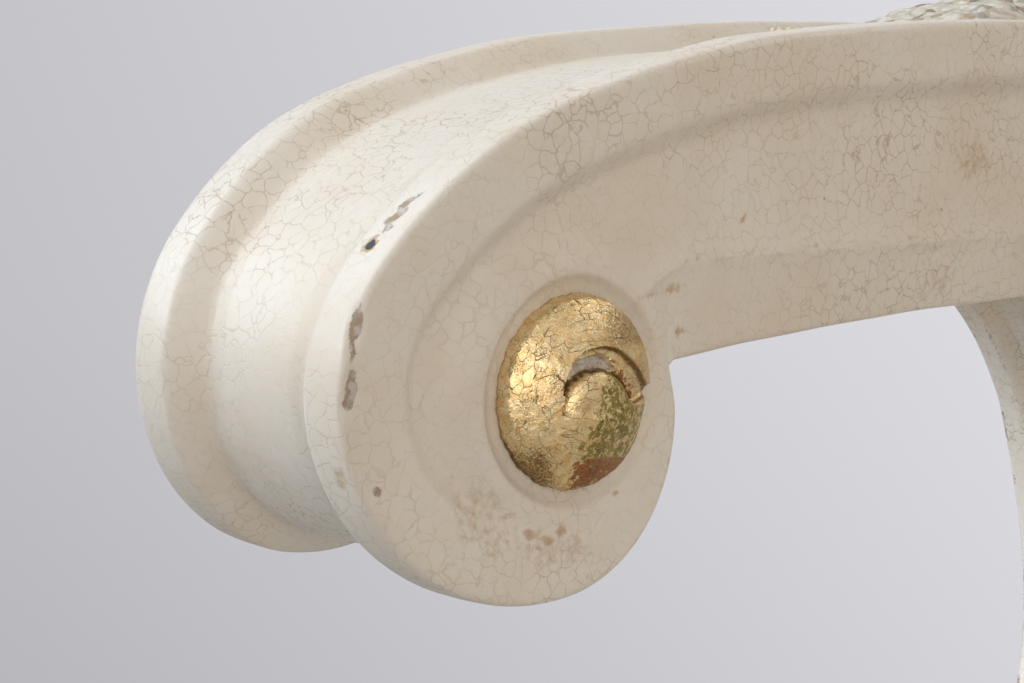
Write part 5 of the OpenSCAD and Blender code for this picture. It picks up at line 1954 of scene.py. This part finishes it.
def build_backdrop(look):
    """A floor that curves up into a round wall."""
    floor_r, bend_r, wall = 5.0, 2.2, 6.0
    bend = np.radians(np.linspace(0, 90, 20))
    profile = [(0.0, 0.0), (1.0, 0.0), (2.5, 0.0)]
    profile += [(floor_r + bend_r * math.sin(a), bend_r * (1 - math.cos(a))) for a in bend]
    profile.append((floor_r + bend_r, wall))
    spokes = 96
    turns = [2 * math.pi * k / spokes for k in range(spokes)]
    points = [(0.0, 0.0, -FLOOR_DROP)]
    for r, z in profile[1:]:
        points += [(r * math.cos(turn), r * math.sin(turn), z - FLOOR_DROP) for turn in turns]
    faces = [[0, 1 + k, 1 + (k + 1) % spokes] for k in range(spokes)]
    faces += grid_quads(len(profile) - 1, spokes, start=1, closed_cols=True)
    mesh = bpy.data.meshes.new("backdrop")
    mesh.from_pydata(points, [], faces)
    shade_smooth(mesh, 60)
    mesh.materials.append(backdrop_material(look))
    add_object("backdrop", mesh)


def build_lights(look, boss):
    """Soft lights round the chair, and a small one for the scroll's highlights."""
    softbox("key_softbox", (-1.60, -1.40, 2.0), CHAIR_MIDDLE, (2.2, 2.2), look.key, (0.83, 0.925, 1.0))
    softbox("window_softbox", (-1.39, -2.22, 1.39), boss, (0.26, 0.40), look.window, (1.0, 1.0, 1.0))
    softbox("fill_softbox", (2.2, -1.6, 1.3), CHAIR_MIDDLE, (2.0, 2.0), look.fill, (1.0, 0.89, 0.75))
    softbox("back_softbox", (0.8, 2.4, 2.4), CHAIR_MIDDLE, (1.8, 1.2), look.fill * 0.9, (1.0, 1.0, 1.0))
    world = bpy.data.worlds.new("studio")
    world.use_nodes = True
    background = world.node_tree.nodes["Background"]
    background.inputs["Color"].default_value = (1.0, 0.92, 0.80, 1.0)
    background.inputs["Strength"].default_value = look.ambient
    bpy.context.scene.world = world


# ---- Operators ----

class ARMCHAIR_OT_stage(bpy.types.Operator):
    """Make the camera, the pale backdrop and the soft studio lights"""
    bl_idname = "armchair.stage"
    bl_label = "Stage"

    def execute(self, context):
        context.scene.view_settings.view_transform = "Standard"
        look = context.scene.armchair_stage
        boss = Vector((-ARM_MID, BOSS_Y, BOSS_Z))
        build_camera(look, boss)
        build_backdrop(look)
        build_lights(look, boss)
        return {"FINISHED"}


class ARMCHAIR_OT_arms(bpy.types.Operator):
    """Carve both scrolled arms with their rims, hollows, chips and stains"""
    bl_idname = "armchair.arms"
    bl_label = "Scrolled arms"

    def execute(self, context):
        build_arms(context.scene.armchair_carving)
        return {"FINISHED"}


class ARMCHAIR_OT_bosses(bpy.types.Operator):
    """Carve the four gilt bosses"""
    bl_idname = "armchair.bosses"
    bl_label = "Gilt bosses"

    def execute(self, context):
        build_bosses()
        return {"FINISHED"}


class ARMCHAIR_OT_supports(bpy.types.Operator):
    """Shape the curved supports below the arms"""
    bl_idname = "armchair.supports"
    bl_label = "Arm supports"

    def execute(self, context):
        build_supports(context.scene.armchair_carving)
        return {"FINISHED"}


class ARMCHAIR_OT_seat_frame(bpy.types.Operator):
    """Make the front legs and the seat rails"""
    bl_idname = "armchair.seat_frame"
    bl_label = "Front legs and rails"

    def execute(self, context):
        build_legs(context.scene.armchair_carving)
        build_rails(context.scene.armchair_carving)
        return {"FINISHED"}


class ARMCHAIR_OT_back_frame(bpy.types.Operator):
    """Make the back posts, the crest rail and the lower rail"""
    bl_idname = "armchair.back_frame"
    bl_label = "Back frame"

    def execute(self, context):
        build_posts(context.scene.armchair_carving)
        build_back_rails(context.scene.armchair_carving)
        return {"FINISHED"}


class ARMCHAIR_OT_joinery(bpy.types.Operator):
    """Finish the hidden wood and metal: blocks, dowels, slip seat, screws and glides"""
    bl_idname = "armchair.joinery"
    bl_label = "Joinery"

    def execute(self, context):
        blocks = [f"{side}_{end}_corner_block" for side in SIDES for end in ("front", "back")]
        bars = [f"{place}_slip_bar" for place in ("right", "left", "front", "back")]
        dress_nodes([*blocks, *bars, "rail_dowels", "back_dowels", "arm_dowels"], bare_wood_material())
        dress_nodes(["corner_screws", "glides"], steel_material())
        return {"FINISHED"}


class ARMCHAIR_OT_cushions(bpy.types.Operator):
    """Stuff the seat cushion and the back pad, and cover the outside of the back"""
    bl_idname = "armchair.cushions"
    bl_label = "Cushions"

    def execute(self, context):
        build_seat_cushion(context.scene.armchair_fabric)
        build_back_cushion(context.scene.armchair_fabric)
        build_outside_back()
        return {"FINISHED"}


class ARMCHAIR_OT_arm_pads(bpy.types.Operator):
    """Stuff the two arm pads"""
    bl_idname = "armchair.arm_pads"
    bl_label = "Arm pads"

    def execute(self, context):
        build_arm_pads()
        return {"FINISHED"}


class ARMCHAIR_OT_braids(bpy.types.Operator):
    """Plait the braid round the pads and the back"""
    bl_idname = "armchair.braids"
    bl_label = "Braid"

    def execute(self, context):
        build_pad_braids()
        build_back_braid()
        return {"FINISHED"}


class ARMCHAIR_OT_webbing(bpy.types.Operator):
    """Weave the webbing of the seat and the back"""
    bl_idname = "armchair.webbing"
    bl_label = "Webbing"

    def execute(self, context):
        build_webbing()
        return {"FINISHED"}


STEPS = (ARMCHAIR_OT_stage, ARMCHAIR_OT_arms, ARMCHAIR_OT_bosses, ARMCHAIR_OT_supports,
         ARMCHAIR_OT_seat_frame, ARMCHAIR_OT_back_frame, ARMCHAIR_OT_joinery, ARMCHAIR_OT_cushions,
         ARMCHAIR_OT_arm_pads, ARMCHAIR_OT_braids, ARMCHAIR_OT_webbing)


class ARMCHAIR_PT_parts(bpy.types.Panel):
    """Lists the steps that build the armchair"""
    bl_idname = "ARMCHAIR_PT_parts"
    bl_label = "Armchair"
    bl_space_type = "VIEW_3D"
    bl_region_type = "UI"
    bl_category = "Armchair"

    def draw(self, context):
        for step in STEPS:
            self.layout.operator(step.bl_idname)
        for name in SETTINGS:
            box = self.layout.box()
            settings = getattr(context.scene, name)
            for prop in settings.__annotations__:
                box.prop(settings, prop)


SETTINGS = {"armchair_carving": ArmchairCarving, "armchair_paint": ArmchairPaint,
            "armchair_gilding": ArmchairGilding, "armchair_fabric": ArmchairFabric,
            "armchair_stage": ArmchairStage}


def register():
    for cls in (*SETTINGS.values(), *STEPS, ARMCHAIR_PT_parts):
        bpy.utils.register_class(cls)
    for name, cls in SETTINGS.items():
        setattr(bpy.types.Scene, name, PointerProperty(type=cls))


def unregister():
    for name in SETTINGS:
        delattr(bpy.types.Scene, name)
    for cls in reversed((*SETTINGS.values(), *STEPS, ARMCHAIR_PT_parts)):
        bpy.utils.unregister_class(cls)


def main():
    register()
    for step in STEPS:
        group, name = step.bl_idname.split(".")
        getattr(getattr(bpy.ops, group), name)()
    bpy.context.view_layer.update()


if __name__ == "__main__":
    main()
